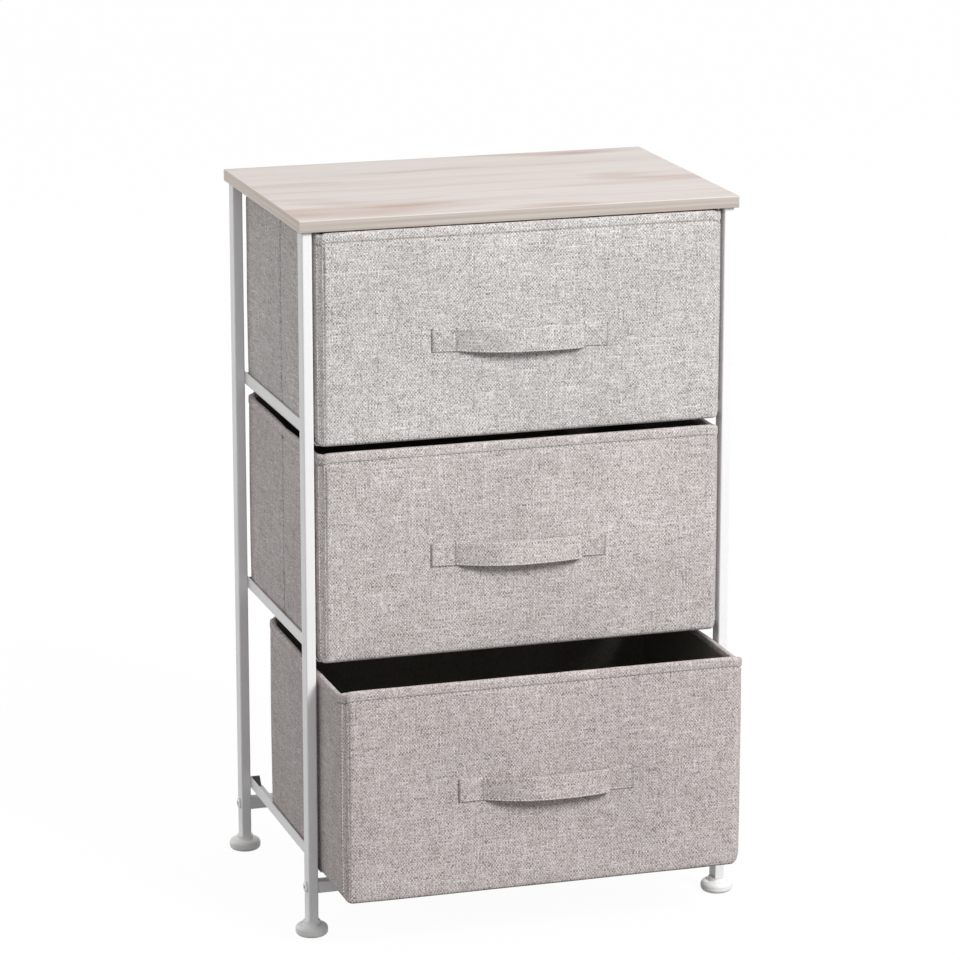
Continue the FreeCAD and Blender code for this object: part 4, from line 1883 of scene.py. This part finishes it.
@dataclass
class Studio:
    """Plain pale floor, soft light, and the camera of the photograph."""

    yaw: float = 17.4
    pitch: float = 14.42
    distance: float = 4.2725
    target: Vector = Vector((0.0029, 0.0, 0.4204))
    focal_pixels: float = 4170.3
    picture_pixels: float = 960.0
    sensor: float = 36.0
    far: float = 100.0
    ambient: float = 0.56
    white: Colour = (1.0, 1.0, 1.0, 1.0)
    floor_colour: Colour = paint(120, 120, 120)
    floor_roughness: float = 0.9
    floor_glow: float = 0.8
    floor_white: float = 1.2
    floor_reach: float = 12.0
    lamps: tuple[SoftBox, ...] = (
        SoftBox("key_light", Vector((1.5, -3.1, 2.9)), 1.3, 150.0),
        SoftBox("fill_light", Vector((-2.0, 1.6, 1.2)), 1.6, 15.0),
    )

    def camera(self) -> None:
        """Stand the camera where the photograph was taken from."""
        yaw, pitch = math.radians(self.yaw), math.radians(self.pitch)
        back = Vector((-math.sin(yaw) * math.cos(pitch), -math.cos(yaw) * math.cos(pitch), math.sin(pitch)))
        data = bpy.data.cameras.new("photo_camera")
        data.sensor_width = self.sensor
        data.lens = self.sensor * self.focal_pixels / self.picture_pixels
        data.clip_end = self.far
        eye = bpy.data.objects.new("photo_camera", data)
        eye.location = self.target + back * self.distance
        eye.rotation_euler = (-back).to_track_quat("-Z", "Y").to_euler()
        bpy.context.scene.collection.objects.link(eye)
        bpy.context.scene.camera = eye

    def hang(self, lamp: SoftBox) -> None:
        """Hang one lamp, turned to the dresser.

        Args:
            lamp: The lamp.
        """
        data = bpy.data.lights.new(lamp.name, "AREA")
        data.size = lamp.size
        data.energy = lamp.power
        hung = bpy.data.objects.new(lamp.name, data)
        hung.location = lamp.place
        hung.rotation_euler = (self.target - lamp.place).to_track_quat("-Z", "Y").to_euler()
        bpy.context.scene.collection.objects.link(hung)

    @staticmethod
    def seen_directly(tree: bpy.types.NodeTree) -> Socket:
        """Tell rays that see the background from those that light the object.

        Args:
            tree: The node tree of the background's material or of the world.

        Returns:
            1 for rays from the camera, and for what metal and glass show; else 0.
        """
        path = tree.nodes.new("ShaderNodeLightPath")
        seen = path.outputs["Is Camera Ray"]
        for name in ("Is Glossy Ray", "Is Transmission Ray"):
            either = tree.nodes.new("ShaderNodeMath")
            either.operation = "MAXIMUM"
            tree.links.new(seen, either.inputs[0])
            tree.links.new(path.outputs[name], either.inputs[1])
            seen = either.outputs[0]
        return seen

    @staticmethod
    def mix_shaders(tree: bpy.types.NodeTree, share: Socket, plain: Socket, seen: Socket, end: str) -> None:
        """Mix two shaders into a tree's output.

        Args:
            tree: The node tree.
            share: Share of the second shader.
            plain: The first shader.
            seen: The second shader.
            end: Name of the output node.
        """
        mixed = tree.nodes.new("ShaderNodeMixShader")
        for feed, socket in zip((share, plain, seen), mixed.inputs):
            tree.links.new(feed, socket)
        tree.links.new(mixed.outputs[0], tree.nodes[end].inputs["Surface"])

    def world(self) -> None:
        """Even light from all round, and white where it is seen."""
        world = bpy.data.worlds.new("studio_world")
        world.use_nodes = True
        tree = world.node_tree
        light = tree.nodes["Background"]
        light.inputs["Color"].default_value = self.white
        light.inputs["Strength"].default_value = self.ambient
        white = tree.nodes.new("ShaderNodeBackground")
        white.inputs["Color"].default_value = self.white
        seen = self.seen_directly(tree)
        self.mix_shaders(tree, seen, light.outputs[0], white.outputs[0], "World Output")
        bpy.context.scene.world = world

    def floor(self) -> None:
        """Lay a pale floor that keeps a faint shadow."""
        mesh = bmesh.new()
        bmesh.ops.create_grid(mesh, x_segments=1, y_segments=1, size=self.floor_reach)
        data = bpy.data.meshes.new("studio_floor")
        mesh.to_mesh(data)
        mesh.free()
        material = bpy.data.materials.new("studio_floor")
        material.use_nodes = True
        tree = material.node_tree
        matt = tree.nodes["Principled BSDF"]
        matt.inputs["Base Color"].default_value = self.floor_colour
        matt.inputs["Roughness"].default_value = self.floor_roughness
        glow = tree.nodes.new("ShaderNodeEmission")
        glow.inputs["Strength"].default_value = self.floor_white
        share = tree.nodes.new("ShaderNodeMath")
        share.operation = "MULTIPLY"
        share.inputs[1].default_value = self.floor_glow
        tree.links.new(self.seen_directly(tree), share.inputs[0])
        self.mix_shaders(tree, share.outputs[0], matt.outputs[0], glow.outputs[0], "Material Output")
        data.materials.append(material)
        floor = bpy.data.objects.new("studio_floor", data)
        bpy.context.scene.collection.objects.link(floor)

    def build(self) -> None:
        """Set up the whole studio."""
        bpy.context.scene.view_settings.view_transform = "Standard"
        self.world()
        self.floor()
        for lamp in self.lamps:
            self.hang(lamp)
        self.camera()


def main() -> None:
    """Build the studio and every sub-assembly in order."""
    logging.basicConfig(level=logging.INFO, format="%(name)s: %(message)s")
    Studio().build()
    SteelFrame().build()
    for corner in Corner:
        LevellingFoot(corner).build()
    for level in Level:
        FabricDrawer(level).build()


if __name__ == "__main__":
    main()
